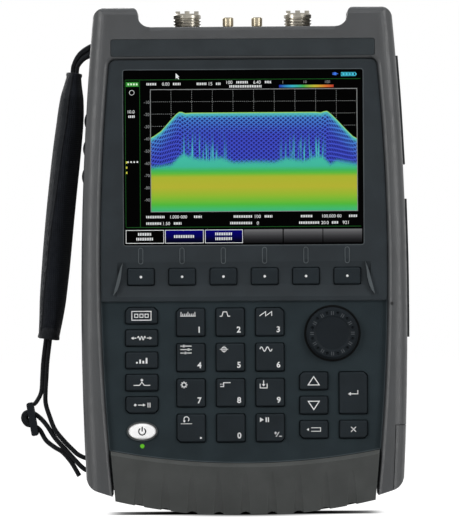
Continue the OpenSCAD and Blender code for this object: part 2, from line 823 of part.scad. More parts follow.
module knob() {
    r = knob_d / 2;
    dish = 0.5;
    dimple_r = 1;
    color([0.16, 0.18, 0.19]) difference() {
        translate([knob_x, 0, knob_z]) rotate([90, 0, 0]) rotate_extrude($fn = 96)
            polygon([[0, -knob_back_y], [r, -knob_back_y], [r, 1.6 - knob_front_y - knob_h / 2],
                [r - 0.4, -knob_front_y - 0.9], [r - 1.3, -knob_front_y], [r - 4.6, -knob_front_y],
                [r - 5.6, -knob_front_y - dish], [0, -knob_front_y - dish]]);
        rod(knob_x, knob_z, shaft_d / 2 + 0.02, knob_bore_y, knob_back_y + 1);
        for (i = [0 : dimple_count - 1]) translate([knob_x, knob_front_y, knob_z])
            rotate([0, 360 * (i + 0.5) / dimple_count, 0]) translate([0, 0, r - 3]) sphere(r = dimple_r);
    }
}

// Bumper under the case: a front and a rear flange joined by a slab
module tread_outline() {
    intersection() {
        polygon([[tread_end(tread_peak), tread_peak], [-tread_end(tread_peak), tread_peak],
            [-tread_end(0), 0], [tread_end(0), 0]]);
        translate([0, tread_bottom_r - tread_flat]) circle(r = tread_bottom_r, $fn = side_fn);
    }
}
function tread_z(x) = max(0, tread_bottom_r - tread_flat - sqrt(tread_bottom_r ^ 2 - x ^ 2));
flute_half_count = 4;
flute_l = 20;

module bottom_bumper() {
    color([0.26, 0.27, 0.27]) difference() {
        slab(front_y, rear_y) difference() {
            tread_outline();
            above_tread(0);
        }
        block([-far, flange_y, tread_t], [far, back_y, far]);
        for (side = [0, 1]) mirror([0, side, 0]) {
            tread_bevel_cut();
            for (i = [-flute_half_count : flute_half_count]) {
                flute(i * flute_pitch);
                rod(i * flute_pitch, tread_z(i * flute_pitch) + flute_depth - flute_r, flute_r,
                    front_y - 1, front_y + flute_l);
            }
        }
    }
}

// Bevel along the arched upper edge
module tread_bevel_cut() {
    r = tread_top_r;
    translate([0, 0, tread_low + r]) rotate([90, 0, 0])
        rotate_extrude(angle = 30, start = -105, $fn = side_fn)
            polygon([[r - 1, -front_y + 1], [r - 1, -front_y - tread_bevel - 1],
                [r + tread_bevel + 1, -front_y + 1]]);
}

// A flute in the front, deepest at the foot
module flute(x) {
    lean = atan2(flute_depth, flute_top - tread_z(x));
    translate([x, front_y - flute_r, flute_top]) rotate([lean, 0, 0]) translate([0, 0, -2 * flute_top])
        cylinder(r = flute_r, h = 2 * flute_top + 20);
}

// Rear case: shell, posts, lugs, fins and bays
post_r = 4.4;
standoff_spots = [for (x = [-62, 62], z = [low_screw_z + 22, face_z - 16]) [x, z]];
standoff_r = 3.2;
module rear_case() {
    color([0.3, 0.31, 0.32]) difference() {
        union() {
            difference() {
                union() {
                    rear_shell();
                    rear_blocks();
                }
                connector_well();
                battery_bay();
                for (zone = [lower_zone, upper_zone]) port_bay(zone);
                for (zone = [battery_zone, lower_zone, upper_zone]) hinge_room(zone);
                for (bar = [upper_bar, lower_bar]) strap_pocket(bar);
            }
            for (zone = [battery_zone, lower_zone, upper_zone]) hinge_lugs(zone);
            for (bar = [upper_bar, lower_bar]) strap_bar(bar);
            for (s = [-1, 1]) bail_lugs(s);
            fins();
            grip_waves();
        }
        for (zone = [battery_zone, lower_zone, upper_zone]) hinge_bores(zone, pin_gap);
        bail_axis(bail_w / 2 + lug_t + 1, bail_pin_r + pin_gap);
        at_screws([horn_screw]) {
            rod(0, 0, screw_r + screw_gap, split_y - 1, rear_y);
            rod(0, 0, head_r + screw_gap, back_y, rear_y + 1);
        }
        at_screws([mid_screw, low_screw]) {
            rod(0, 0, screw_r + screw_gap, split_y - 1, rear_y);
            rod(0, 0, head_r + screw_gap, back_y - head_t - head_sink, rear_y);
        }
        for (p = sockets) socket_place(p) translate([0, 0, -1]) linear_extrude(60)
            square(p[1] + [2 * fit_gap, 2 * fit_gap], center = true);
    }
}

module rear_shell() {
    difference() {
        envelope(rear_y, split_y);
        slab(back_y, rear_y + 2) window(0);
        cavity(split_y - 1, inside_y);
        bar_edge(rear_y, -1);
    }
}

// Blocks inside the shell that carry the bays, the strap and the boards
module rear_blocks() {
    for (zone = [lower_zone, upper_zone])
        sweep_between(box_section(wall / 2, bay_depth + bay_wall, split_y, inside_y + 1),
            zone[0] - bay_wall, zone[1] + bay_wall);
    mirror([1, 0, 0]) sweep_between(box_section(wall / 2, strap_pocket_d + wall, split_y,
        strap_y + web_w / 2 + 1 + wall), floor_z - 1, lower_bar.y + loop_r + 1 + wall);
    at_screws([mid_screw, low_screw]) rod(0, 0, post_r, split_y, inside_y + 1);
    for (p = standoff_spots) rod(p.x, p.y, standoff_r, main_board_y + board_t, inside_y + 1);
}

fin_w = 118;
fin_t = 3;
fin_h = 3.5;
fin_z = face_z - 12;
module fins() {
    for (i = [0 : fin_count - 1]) block([-fin_w / 2, back_y - 0.1, fin_z - i * fin_pitch],
        [fin_w / 2, back_y + fin_h, fin_z - i * fin_pitch + fin_t]);
}

// Three finger waves on the left side
module grip_waves() {
    wave_r = 8.5;
    wave_pitch = 16;
    wave_proud = 1.2;
    mid_z = face_z - 51;
    intersection() {
        for (i = [-1 : 1]) let (z = mid_z + i * wave_pitch)
            rod(-side_x(z) + wave_r - wave_proud, z, wave_r, door_front_y, hinge_y - 2);
        mirror([1, 0, 0])
            sweep_between(box_section(-5, wall / 2, split_y, inside_y), mid_z - 40, mid_z + 40);
    }
}

// Bail: a frame that folds flat on the back
bail_pin_r = 1.3;
bail_eye_r = 2.6;
bail_y = back_y + bail_eye_r + 0.3;
bail_z = fin_z - (fin_count - 1) * fin_pitch - bail_drop;
bail_l = bail_z - bail_low;
lug_t = 4;
module bail_axis(half, r) {
    translate([-half, bail_y, bail_z]) rotate([0, 90, 0]) cylinder(r = r, h = 2 * half);
}

module bail_lugs(s) {
    for (x = [bail_w / 2 + run_gap, bail_w / 2 - bail_bar - run_gap - lug_t])
        beam(s > 0 ? x : -x - lug_t, s > 0 ? x + lug_t : -x)
            polygon(concat([[back_y - 1, bail_z - bail_eye_r]],
                arc([bail_y, bail_z], bail_eye_r, -90, 90, 12), [[back_y - 1, bail_z + bail_eye_r]]));
}

module bail() {
    color([0.22, 0.23, 0.24]) difference() {
        union() {
            slab(bail_y - bail_t / 2, bail_y + bail_t / 2) difference() {
                translate([0, bail_z - bail_l / 2]) polygon(rounded(bail_w, bail_l, 5));
                translate([0, bail_z - bail_l / 2 + bail_bar])
                    polygon(rounded(bail_w - 2 * bail_bar, bail_l, 3));
            }
            for (s = [-1, 1]) translate([s * (bail_w - bail_bar) / 2 - bail_bar / 2, bail_y, bail_z])
                rotate([0, 90, 0]) cylinder(r = bail_eye_r, h = bail_bar);
        }
        bail_axis(bail_w, bail_pin_r + turn_gap);
    }
}

module hinge_pins() {
    color([0.75, 0.75, 0.76]) {
        for (zone = [battery_zone, lower_zone, upper_zone]) {
            l = barrel_half(zone) + run_gap + lug_l;
            on_hinge(zone) translate([0, 0, -l]) cylinder(r = pin_r, h = 2 * l);
        }
        for (s = [-1, 1]) translate([s * (bail_w - bail_bar) / 2, bail_y, bail_z]) rotate([0, 90, 0])
            cylinder(r = bail_pin_r, h = bail_bar + 2 * run_gap + 2 * lug_t, center = true);
    }
}

module case_screws() {
    color([0.55, 0.56, 0.57]) {
        at_screws([horn_screw]) screw(back_y + head_t);
        at_screws([mid_screw, low_screw]) screw(back_y - head_sink);
    }
}

// A screw with a six-sided socket, its head at a depth
module screw(y) {
    difference() {
        union() {
            rod(0, 0, head_r, y - head_t, y);
            rod(0, 0, screw_r, screw_tip_y, y - head_t + 0.1);
        }
        translate([0, y + 1, 0]) rotate([90, 0, 0]) cylinder(r = screw_r, h = 2, $fn = 6);
    }
}

// Doors
module battery_door() {
    c = [rail_outer_r, front_y + rail_outer_r];
    lip_angle = acos((rail_outer_r - battery_door_w) / rail_outer_r);
    lip_y = flange_y - run_gap;
    section = concat([[battery_door_w, lip_y]],
        [for (i = [0 : arc_steps]) let (a = lip_angle * (1 - i / arc_steps))
            c - rail_outer_r * [cos(a), sin(a)]],
        [[0, hinge_y], [door_t, hinge_y], [door_t, lip_y]]);
    color([0.34, 0.35, 0.35]) door_barrel(battery_zone) intersection() {
        sweep_between(section, 0, battery_door_z);
        slab(front_y - 1, rear_y) polygon(concat(outline_half, mirrored(outline_half)));
    }
}

module port_door(zone) {
    color([0.25, 0.26, 0.27]) door_barrel(zone)
        sweep_between(box_section(-door_proud, door_t - door_proud, door_front_y, hinge_y),
            zone[0], zone[1]);
}

// Connectors. Their roots go through the panel and are a step thinner than their barrels.
root_step = 0.4;
root_l = 6;
module connector_panel() {
    color([0.45, 0.46, 0.47]) difference() {
        block([fit_gap - shelf_x, fit_gap - shelf_y, shelf_z - shelf_t],
            [shelf_x - fit_gap, shelf_y - fit_gap, shelf_z]);
        for (s = [-1, 1]) {
            translate([s * n_span / 2, 0, 0])
                cylinder(r = n_thread_d / 2 - root_step + fit_gap, h = case_h);
            translate([s * sma_span / 2, 0, 0])
                cylinder(r = sma_thread_d / 2 - root_step + fit_gap, h = case_h);
        }
    }
}

// A large coaxial port: flange, threaded barrel, rim tabs and centre contact
module n_connector() {
    r = n_thread_d / 2;
    smooth = 6;
    grooves = 6;
    groove = 1.8;
    bore_r = 4.3;
    tab_h = 1.4;
    difference() {
        union() {
            cylinder(r = r + 3, h = 2.5);
            translate([0, 0, -root_l]) cylinder(r = r - root_step, h = root_l + 1);
            rotate_extrude() polygon(concat([[0, 0], [r, 0], [r, smooth]],
                [for (i = [0 : grooves - 1], p = [[-0.7, 0.45], [-0.7, 0.85], [0, 1.3], [0, groove]])
                    [r + p.x, smooth + i * groove + p.y]],
                [[r, n_h - tab_h - 1], [r - 1, n_h - tab_h], [0, n_h - tab_h]]));
            intersection() {
                cylinder(r = r - 1.2, h = n_h);
                for (a = [0, 90]) rotate(a) block([-1.4, -r, 2], [1.4, r, n_h]);
            }
        }
        translate([0, 0, 4]) difference() {
            cylinder(r = bore_r, h = n_h);
            cylinder(r = 1.6, h = n_h - 8);
        }
    }
}

module n_connectors() {
    color([0.78, 0.76, 0.7]) for (s = [-1, 1]) translate([s * n_span / 2, 0, shelf_z]) n_connector();
}

// A small coaxial port: nut, threaded barrel and contact
module sma_connector() {
    r = sma_thread_d / 2;
    smooth = 5;
    grooves = 8;
    groove = 0.9;
    difference() {
        union() {
            cylinder(r = r + 1.6, h = 2.4, $fn = 6);
            translate([0, 0, -root_l]) cylinder(r = r - root_step, h = root_l + 1);
            rotate_extrude() polygon(concat([[0, 0], [r, 0], [r, smooth]],
                [for (i = [0 : grooves - 1], p = [[-0.35, 0.25], [-0.35, 0.4], [0, 0.65], [0, groove]])
                    [r + p.x, smooth + i * groove + p.y]],
                [[r, sma_h - 0.5], [r - 0.5, sma_h], [0, sma_h]]));
        }
        translate([0, 0, 5]) difference() {
            cylinder(r = 2.1, h = sma_h);
            cylinder(r = 0.6, h = sma_h - 6);
        }
    }
}

module sma_connectors() {
    color([0.75, 0.72, 0.66]) for (s = [-1, 1]) translate([s * sma_span / 2, 0, shelf_z]) sma_connector();
}

// Inside
main_half = 77;
module main_board() {
    color([0.1, 0.3, 0.18]) slab(main_board_y, main_board_y + board_t) difference() {
        translate([-main_half, low_screw_z + 10]) square([2 * main_half, face_z - low_screw_z - 16]);
        for (s = [-1, 1]) translate([s * mid_screw.x, mid_screw.y]) circle(r = post_r + run_gap);
    }
}

module radio_module() {
    radio_w = 108;
    radio_h = 70;
    radio_t = 22;
    radio_top = face_z - 8;
    color([0.7, 0.71, 0.72]) block([-radio_w / 2, main_board_y + board_t, radio_top - radio_h],
        [radio_w / 2, main_board_y + board_t + radio_t, radio_top]);
}

module battery_pack() {
    battery_left = -62;
    battery_h = 24;
    battery_reach = 11;
    color([0.12, 0.12, 0.13]) block([battery_left, split_y - battery_reach, floor_z],
        [side_x(floor_z) - battery_door_w - 2, inside_y - 1, floor_z + battery_h]);
}

// Sockets behind the port doors, as height and size: network, two serial, power and memory card
network_size = [14, 16.4];
serial_size = [8, 13.6];
power_size = [9, 9];
card_size = [5, 26];
sockets = [[lower_zone[0] + 14, network_size], [lower_zone[0] + 31, serial_size],
    [lower_zone[1] - 16, serial_size], [upper_zone[0] + 14, power_size], [upper_zone[0] + 36, card_size]];
socket_x = 70;
socket_wall = 1;
socket_hollow = 9;
module socket_place(p) {
    translate([socket_x, main_board_y + board_t + p[1].x / 2, p[0]]) rotate([0, 90, 0]) rotate([0, 0, 90])
        children();
}

module port_sockets() {
    color([0.62, 0.63, 0.65]) for (p = sockets) {
        l = side_x(p[0]) - bay_depth - 1 - socket_x;
        difference() {
            socket_place(p) linear_extrude(l) square(p[1], center = true);
            socket_place(p) translate([0, 0, l - socket_hollow]) linear_extrude(20)
                square(p[1] - [2 * socket_wall, 2 * socket_wall], center = true);
        }
    }
}

// Hand strap. Points are distance out from the widest left side and height from a bar.
strap_gap = 0.3;
pad_route = [[3.6, -13.3], [4.8, -24.3], [6.2, -41.6], [8.5, -58.8], [11.4, -84.8], [14, -110.7],
    [16.3, -136.6], [17.8, -153.9], [19.6, -167.4]];
upper_route = [[-7, -0.2], [-1, -3.5], [2.6, -8.6], [3.4, strap_gap - 13.1]];
slider_c = [29.1, 26.3];
slider_lean = 9.6;
slider_l = 19.4;
slider_bar_gap = 7.7;
slider_bar_r = 1.5;
slider_t = 4;
slider_plate = 2.5;
// The webbing that hangs from the grip, goes round the lower bar, through the slider and ends loose
hanging_route = [[20.3, 60.2], [20.9, 51.6], [21.5, 42.3], [21.3, 35.1], [18.7, 27.5], [16.5, 21.6],
    [11.5, 15.8], [6.2, 9.9], [2.7, 6.1], [-2.1, 3.4]];
return_route = [[-2.4, -3.6], [0.9, -1.5], [5, 2.8], [10.3, 8.7], [16.1, 15.2], [20.7, 22.3], [24.9, 27.1],
    [29.7, 30.3], [33.4, 29.9], [34.5, 26.7], [32.4, 23.3], [28.5, 22.4], [24.9, 19.9], [21.4, 14],
    [16.5, 9.4], [11.9, 6.4], [6.6, 0.6], [2.4, -6.6]];
// The second layer, which holds the slider
slider_route = [[22.7, 60.2], [23.3, 51.6], [24.5, 42.3], [26.4, 36.9], [28.4, 34.7]];

bar_distance = 240;
pad_stretch = (upper_bar.y - lower_bar.y) / bar_distance;
function strap_point(p, bar) = [-half_w - p.x, bar.y + p.y];
function strap_points(route, bar) = [for (p = route) strap_point(p, bar)];

// A smooth curve through points
function curve(p, n = 4) = concat([for (i = [0 : len(p) - 2], k = [0 : n - 1])
    let (t = k / n, a = p[max(i - 1, 0)], b = p[i], c = p[i + 1], d = p[min(i + 2, len(p) - 1)])
    (2 * b + (c - a) * t + (2 * a - 5 * b + 4 * c - d) * t ^ 2 + (3 * b - a - 3 * c + d) * t ^ 3) / 2],
    [p[len(p) - 1]]);
function heading(p, i) = let (d = p[min(i + 1, len(p) - 1)] - p[max(i - 1, 0)]) d / norm(d);
function across(p, i) = [-heading(p, i).y, heading(p, i).x];

// A ribbon of webbing along points
module ribbon(p) {
    n = len(p) - 1;
    polygon(concat([for (i = [0 : n]) p[i] + web_t / 2 * across(p, i)],
        [for (i = [n : -1 : 0]) p[i] - web_t / 2 * across(p, i)]));
}

pad_top = pad_route[0].y;
pad_points = curve(strap_points(
    [for (p = pad_route) [p.x, pad_top + (p.y - pad_top) * pad_stretch]], upper_bar), 3);
pad_end = pad_points[len(pad_points) - 1];

// Both layers of the webbing start side by side under the grip
function web_start(shift) = pad_end + [shift * (web_t + strap_gap) / 2, -strap_gap - 0.3];

module strap_webbing() {
    up = [left_x(upper_bar), upper_bar.y];
    low = [left_x(lower_bar), lower_bar.y];
    loop = strap_bar_r + strap_gap + web_t / 2;
    base = curve(concat([up], strap_points(upper_route, upper_bar)));
    n = len(base) - 1;
    apart = (web_t + strap_gap) / 2;
    function layer(side) = [for (i = [2 : n])
        base[i] + side * (loop + (apart - loop) * min(1, 2.2 * i / n)) * across(base, i)];
    upper = layer(-1);
    color([0.13, 0.13, 0.14]) slab(strap_y - web_w / 2, strap_y + web_w / 2) {
        ribbon(concat([for (i = [len(upper) - 1 : -1 : 0]) upper[i]],
            arc(up, loop, 90, -90, 10), layer(1)));
        ribbon(curve(concat([web_start(1)], strap_points(hanging_route, lower_bar),
            arc(low, loop, 100, -100), strap_points(return_route, lower_bar))));
        ribbon(curve(concat([web_start(-1)], strap_points(slider_route, lower_bar))));
    }
}

module strap_slider() {
    c = strap_point(slider_c, lower_bar);
    y0 = strap_y - web_w / 2 - strap_gap - slider_plate;
    y1 = strap_y + web_w / 2 + strap_gap + slider_plate;
    color([0.16, 0.17, 0.18]) translate([c.x, 0, c.y]) rotate([0, -slider_lean, 0]) {
        for (y = [y0, y1 - slider_plate]) slab(y, y + slider_plate)
            polygon(rounded(slider_t, slider_l, 1.2));
        for (i = [-1 : 1]) rod(0, i * slider_bar_gap, slider_bar_r, y0 + 0.5, y1 - 0.5);
    }
}

// Padded grip: a crowned tube with a channel along its narrow sides, thinner at its ends
pad_sides = 20;
function swell(t) = t < 0.2 ? 1 - 0.42 * (1 - t / 0.2) ^ 2
    : t > 0.88 ? 1 - 0.2 * ((t - 0.88) / 0.12) ^ 2 : 1;
function bulge(v, power) = sign(v) * abs(v) ^ power;
function pad_ring(i) = let (n = len(pad_points) - 1, t = i / n, a = pad_t / 2 * swell(t),
    b = pad_w / 2 * (0.4 + 0.6 * swell(t)), c = pad_points[i], side = across(pad_points, i))
    [for (k = [0 : pad_sides - 1]) let (angle = 360 * k / pad_sides,
        u = a * bulge(cos(angle), 0.7), channel = abs(sin(angle)) > 0.98 ? 0.95 : 1,
        v = b * channel * bulge(sin(angle), 0.6))
        [c.x + side.x * u, strap_y + v, c.y + side.y * u]];

module strap_pad() {
    n = len(pad_points) - 1;
    s = pad_sides;
    ends = [[pad_points[0].x, strap_y, pad_points[0].y], [pad_end.x, strap_y, pad_end.y]];
    points = concat([for (i = [0 : n]) each pad_ring(i)], ends);
    sides = [for (i = [0 : n - 1], k = [0 : s - 1]) let (a = i * s + k, b = i * s + (k + 1) % s)
        each [[a, b, a + s], [b, b + s, a + s]]];
    caps = [for (k = [0 : s - 1]) each [[(n + 1) * s, (k + 1) % s, k],
        [(n + 1) * s + 1, n * s + k, n * s + (k + 1) % s]]];
    color([0.15, 0.155, 0.16]) polyhedron(points, concat(sides, caps));
}

side_guard();
name_strip();
front_case();
display_glass();
display_panel();
keypad_panel();
power_bezel();
status_lens();
key_mat();
keypad_board();
encoder_body();
encoder_shaft();
knob();
for (k = softkeys) key(k, softkey_y);
for (k = keypad_keys) key(k, key_y);
power_key();
bottom_bumper();
rear_case();
connector_panel();
n_connectors();
sma_connectors();
main_board();
radio_module();
port_sockets();
battery_pack();
battery_door();
port_door(upper_zone);  // upper_port_door
port_door(lower_zone);  // lower_port_door
bail();
hinge_pins();
case_screws();
strap_pad();
strap_webbing();
strap_slider();
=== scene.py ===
"""Looks of a handheld spectrum analyzer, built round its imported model.

Sizes and places are in millimetres in the model's frame: the front faces -Y and +Z is up.
Meshes are scaled to metres where they are made.
"""

import json
import math

import bpy
import numpy as np
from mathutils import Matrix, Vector


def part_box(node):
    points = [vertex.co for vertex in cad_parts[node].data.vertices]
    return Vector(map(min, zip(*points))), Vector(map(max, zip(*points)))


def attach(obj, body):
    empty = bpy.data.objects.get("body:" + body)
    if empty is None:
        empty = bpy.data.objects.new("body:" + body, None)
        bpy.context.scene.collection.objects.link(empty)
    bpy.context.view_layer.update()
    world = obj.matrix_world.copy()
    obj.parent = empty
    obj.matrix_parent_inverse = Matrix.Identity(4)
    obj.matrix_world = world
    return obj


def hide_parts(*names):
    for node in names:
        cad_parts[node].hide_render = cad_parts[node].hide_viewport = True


MM = 0.001
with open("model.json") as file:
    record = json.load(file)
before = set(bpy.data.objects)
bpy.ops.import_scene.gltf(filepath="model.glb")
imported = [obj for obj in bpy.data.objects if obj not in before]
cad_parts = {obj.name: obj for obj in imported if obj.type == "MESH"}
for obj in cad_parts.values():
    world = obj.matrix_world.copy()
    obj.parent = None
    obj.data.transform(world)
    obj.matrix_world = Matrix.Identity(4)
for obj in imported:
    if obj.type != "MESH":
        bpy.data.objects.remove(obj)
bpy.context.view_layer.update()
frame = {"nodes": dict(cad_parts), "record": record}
nodes = frame["nodes"]
scene = bpy.context.scene


# Camera: a long lens level with the middle of the front, rolled a little
IMAGE_H = 520
PIXEL = 0.576
VIEW_X = -8.06
VIEW_Z = 146.3
FRONT_Y = -36
DISTANCE = 6000
ROLL = 0.37

camera = bpy.data.objects.new("camera", bpy.data.cameras.new("camera"))
camera.data.sensor_width = 36
camera.data.lens = camera.data.sensor_width * DISTANCE / (IMAGE_H * PIXEL)
camera.location = Vector((VIEW_X, FRONT_Y - DISTANCE, VIEW_Z)) * MM
camera.rotation_euler = (math.radians(90), math.radians(ROLL), 0)
scene.collection.objects.link(camera)
scene.camera = camera
scene.view_settings.view_transform = "Standard"


# Materials. A picture on a display gives this share of its colour as its own light.
GLOW = 0.4


def linear(rgb):
    """A colour from 0 to 255, as the renderer takes it"""
    parts = [c / 255 for c in rgb]
    return tuple(c / 12.92 if c < 0.04 else ((c + 0.055) / 1.055) ** 2.4 for c in parts) + (1.0,)


def shade(rgb, factor):
    return tuple(min(255, c * factor) for c in rgb)


class Shader:
    """A material, or the world, with short ways to add nodes to it"""

    def __init__(self, name, world=None):
        self.material = world or bpy.data.materials.new(name)
        self.material.use_nodes = True
        self.tree = self.material.node_tree
        self.surface = self.tree.nodes["Background" if world else "Principled BSDF"]

    def join(self, value, socket):
        if isinstance(value, bpy.types.NodeSocket):
            self.tree.links.new(value, socket)
        else:
            socket.default_value = value

    def put(self, values):
        for name, value in values.items():
            self.join(value, self.surface.inputs[name])

    def add(self, kind, inputs, **settings):
        node = self.tree.nodes.new("ShaderNode" + kind)
        for name, value in settings.items():
            setattr(node, name, value)
        for name, value in inputs.items():
            self.join(value, node.inputs[name])
        return node

    def math(self, operation, *values):
        return self.add("Math", dict(enumerate(values)), operation=operation).outputs[0]

    def times(self, a, b):
        return self.math("MULTIPLY", a, b)

    def vector(self, operation, *values):
        return self.add("VectorMath", dict(enumerate(values)), operation=operation)

    def step(self, value, low, high, to_low=0.0, to_high=1.0):
        inputs = dict(enumerate((value, low, high, to_low, to_high)))
        return self.add("MapRange", inputs, interpolation_type="SMOOTHSTEP").outputs[0]

    def mix(self, factor, a, b):
        """A mix of two sockets or colours, which are given from 0 to 255"""
        a, b = [linear(c) if isinstance(c, tuple) else c for c in (a, b)]
        return self.add("Mix", {0: factor, 6: a, 7: b}, data_type="RGBA").outputs[2]

    def place(self):
        return self.add("TexCoord", {}).outputs["Object"]

    def uv(self):
        return self.add("UVMap", {}, uv_map="uv").outputs[0]

    def noise(self, size, detail=2.0, vector=None, stretch=None):
        vector = vector or self.place()
        if stretch:
            vector = self.vector("MULTIPLY", vector, stretch).outputs[0]
        inputs = {"Vector": vector, "Scale": 1 / (size * MM), "Detail": detail}
        return self.add("TexNoise", inputs).outputs[0]

    def ramp(self, value, stops):
        node = self.add("ValToRGB", {0: value})
        while len(node.color_ramp.elements) < len(stops):
            node.color_ramp.elements.new(0.5)
        for element, (place, rgb) in zip(node.color_ramp.elements, stops):
            element.position = place
            element.color = linear(rgb)
        return node.outputs[0]

    def curve(self, value, points):
        node = self.add("FloatCurve", {1: value})
        line = node.mapping.curves[0]
        while len(line.points) < len(points):
            line.points.new(0.5, 0.5)
        for point, place in zip(line.points, points):
            point.location = place
            point.handle_type = "VECTOR"
        node.mapping.update()
        return node.outputs[0]

    def edges(self, radius):
        """1 on sharp edges and 0 on faces"""
        soft = self.add("Bevel", {"Radius": radius * MM}, samples=4).outputs[0]
        hard = self.add("NewGeometry", {}).outputs["Normal"]
        likeness = self.vector("DOT_PRODUCT", soft, hard).outputs["Value"]
        return self.math("SUBTRACT", 1.0, self.step(likeness, 0.82, 0.995))

    def bump(self, height, depth, strength=1.0):
        inputs = {"Height": height, "Distance": depth * MM, "Strength": strength}
        self.put({"Normal": self.add("Bump", inputs).outputs[0]})

    def picture(self, colour, roughness, specular):
        """Shows a colour as a display does"""
        self.put({"Base Color": self.mix(1 - GLOW, (0, 0, 0), colour), "Roughness": roughness,
                  "Specular IOR Level": specular, "Emission Color": colour, "Emission Strength": GLOW})


def moulded(name, rgb, roughness=0.5, grain=0.35, depth=0.03, wear=0.35, edge=0.5, specular=0.07, metal=0.0):
    """A moulded or cast surface: mottled colour, fine grain, and edges lighter, partly as rubbed wear and
    partly as a painted highlight
    """
    s = Shader(name)
    cloud = s.step(s.noise(16, 4.0), 0.3, 0.7)
    speck = s.step(s.noise(grain, 1.0), 0.25, 0.75)
    base = s.mix(cloud, shade(rgb, 0.93), shade(rgb, 1.05))
    base = s.mix(s.times(speck, 0.25), base, shade(rgb, 0.8))
    # Lighter edges: partly rubbed wear, partly a painted highlight
    if wear:
        rubbed_and_highlit = s.times(s.edges(edge), s.step(s.noise(5, 3.0), 0.3, 0.6, wear * 0.4, wear))
        base = s.mix(rubbed_and_highlit, base, shade(rgb, 1.7))
    s.put({"Base Color": base, "Metallic": metal, "Specular IOR Level": specular,
           "Roughness": s.step(s.noise(4, 3.0), 0.25, 0.75, roughness - 0.07, roughness + 0.07)})
    s.bump(speck, depth)
    return s.material


def plated(name, rgb, roughness):
    """Plated metal with turning marks round the upright axis and faint stains"""
    s = Shader(name)
    turned = s.noise(0.5, 2.0, stretch=(0.1, 0.1, 3.0))
    stain = s.step(s.noise(3, 4.0), 0.35, 0.7)
    s.put({"Base Color": s.mix(stain, shade(rgb, 0.86), rgb), "Metallic": 1.0,
           "Roughness": s.step(turned, 0.3, 0.7, roughness - 0.06, roughness + 0.1)})
    s.bump(turned, 0.01, 0.4)
    return s.material


def ink(name, rgb, glow=0.0):
    """Printed ink, a little uneven. A part of a picture on a display glows too."""
    s = Shader(name)
    uneven = s.step(s.noise(0.8), 0.2, 0.8)
    base = s.mix(uneven, shade(rgb, 0.9), rgb)
    s.put({"Base Color": base, "Roughness": 0.45, "Specular IOR Level": 0.02 if glow else 0.1})
    if glow:
        s.put({"Emission Color": linear(rgb), "Emission Strength": glow})
    return s.material


FINISHES = {}
BEVELS = {}


def finish(name, *values, make=moulded, bevel=0.0, **settings):
    """The look of a material slot, and how far the sharp edges of its pieces are rounded"""
    FINISHES[name] = make(name, *values, **settings)
    BEVELS[name] = bevel


finish("guard_rubber", (48, 50, 52), 0.42, wear=0.2, edge=0.8, specular=0.6, bevel=0.5)
finish("bumper_rubber", (75, 77, 76), 0.5, wear=0.3, edge=0.8, specular=0.14, bevel=0.6)
finish("face_plastic", (41, 47, 51), 0.45, wear=0.25, specular=0.16, bevel=0.35)
finish("panel_plastic", (43, 52, 56), 0.55, grain=0.5, wear=0.4, edge=0.35, bevel=0.2)
finish("strip_plastic", (55, 60, 63), 0.45, wear=0.3, edge=0.4, bevel=0.2)
finish("display_glass", (1, 1, 1), 0.1, depth=0.0, wear=0.0, specular=0.012)
finish("inner_metal", (150, 152, 155), 0.35, wear=0.1, metal=0.9)
finish("bezel_plastic", (74, 74, 72), 0.35, wear=0.5, edge=0.4, bevel=0.25)
finish("green_lens", (96, 178, 46), GLOW, make=ink)
finish("key_mat_rubber", (120, 120, 118), 0.7, wear=0.1)
finish("circuit_board", (24, 74, 46), 0.45, wear=0.1)
finish("steel", (165, 166, 168), 0.3, make=plated)
finish("knob_rubber", (28, 33, 37), edge=0.4, bevel=0.2)
finish("key_plastic", (37, 43, 47), 0.5, grain=0.25, wear=0.5, edge=0.4, bevel=0.25)
finish("white_key", (250, 250, 250), 0.4, wear=0.0, bevel=0.3)
finish("rear_plastic", (62, 64, 65), 0.55, grain=0.6, depth=0.05, wear=0.3, edge=0.7, bevel=0.5)
finish("panel_metal", (58, 60, 62), 0.45, wear=0.5, bevel=0.3)
finish("nickel", (166, 161, 150), 0.26, make=plated)
finish("gold_plate", (176, 166, 144), 0.28, make=plated)
finish("battery_plastic", (30, 30, 32))
finish("door_plastic", (58, 60, 61), edge=0.6, bevel=0.5)
finish("bail_plastic", (46, 48, 50), 0.45, wear=0.5, edge=0.6, bevel=0.7)
finish("slider_plastic", (28, 31, 35), 0.4, wear=0.4, edge=0.4, bevel=0.4)

# The power key glows: painted light that keeps it reading pure white
POWER_PAINTED_GLOW = 0.28
glow_painted_key = FINISHES["white_key"].node_tree.nodes["Principled BSDF"]
glow_painted_key.inputs["Emission Color"].default_value = (1, 1, 1, 1)
glow_painted_key.inputs["Emission Strength"].default_value = POWER_PAINTED_GLOW

WELD_REACH = 0.002
FLAT_ANGLE = 0.5
SHARP_ANGLE = 32


def soften(piece, width):
    """Rounds a piece's sharp edges"""
    piece.modifiers.new("weld", "WELD").merge_threshold = WELD_REACH * MM
    flat = piece.modifiers.new("flat", "DECIMATE")
    flat.decimate_type = "DISSOLVE"
    flat.angle_limit = math.radians(FLAT_ANGLE)
    bevel = piece.modifiers.new("bevel", "BEVEL")
    bevel.width = width * MM
    bevel.segments = 2
    bevel.limit_method = "ANGLE"
    bevel.angle_limit = math.radians(SHARP_ANGLE)
    bevel.harden_normals = True
    piece.modifiers.new("normals", "WEIGHTED_NORMAL").keep_sharp = True


for part in frame["record"]["subparts"]:
    piece = nodes[part["node"]]
    slot = part["material_slot"]
    if slot in FINISHES:
        piece.data.materials.clear()
        piece.data.materials.append(FINISHES[slot])
        if BEVELS[slot]:
            soften(piece, BEVELS[slot])


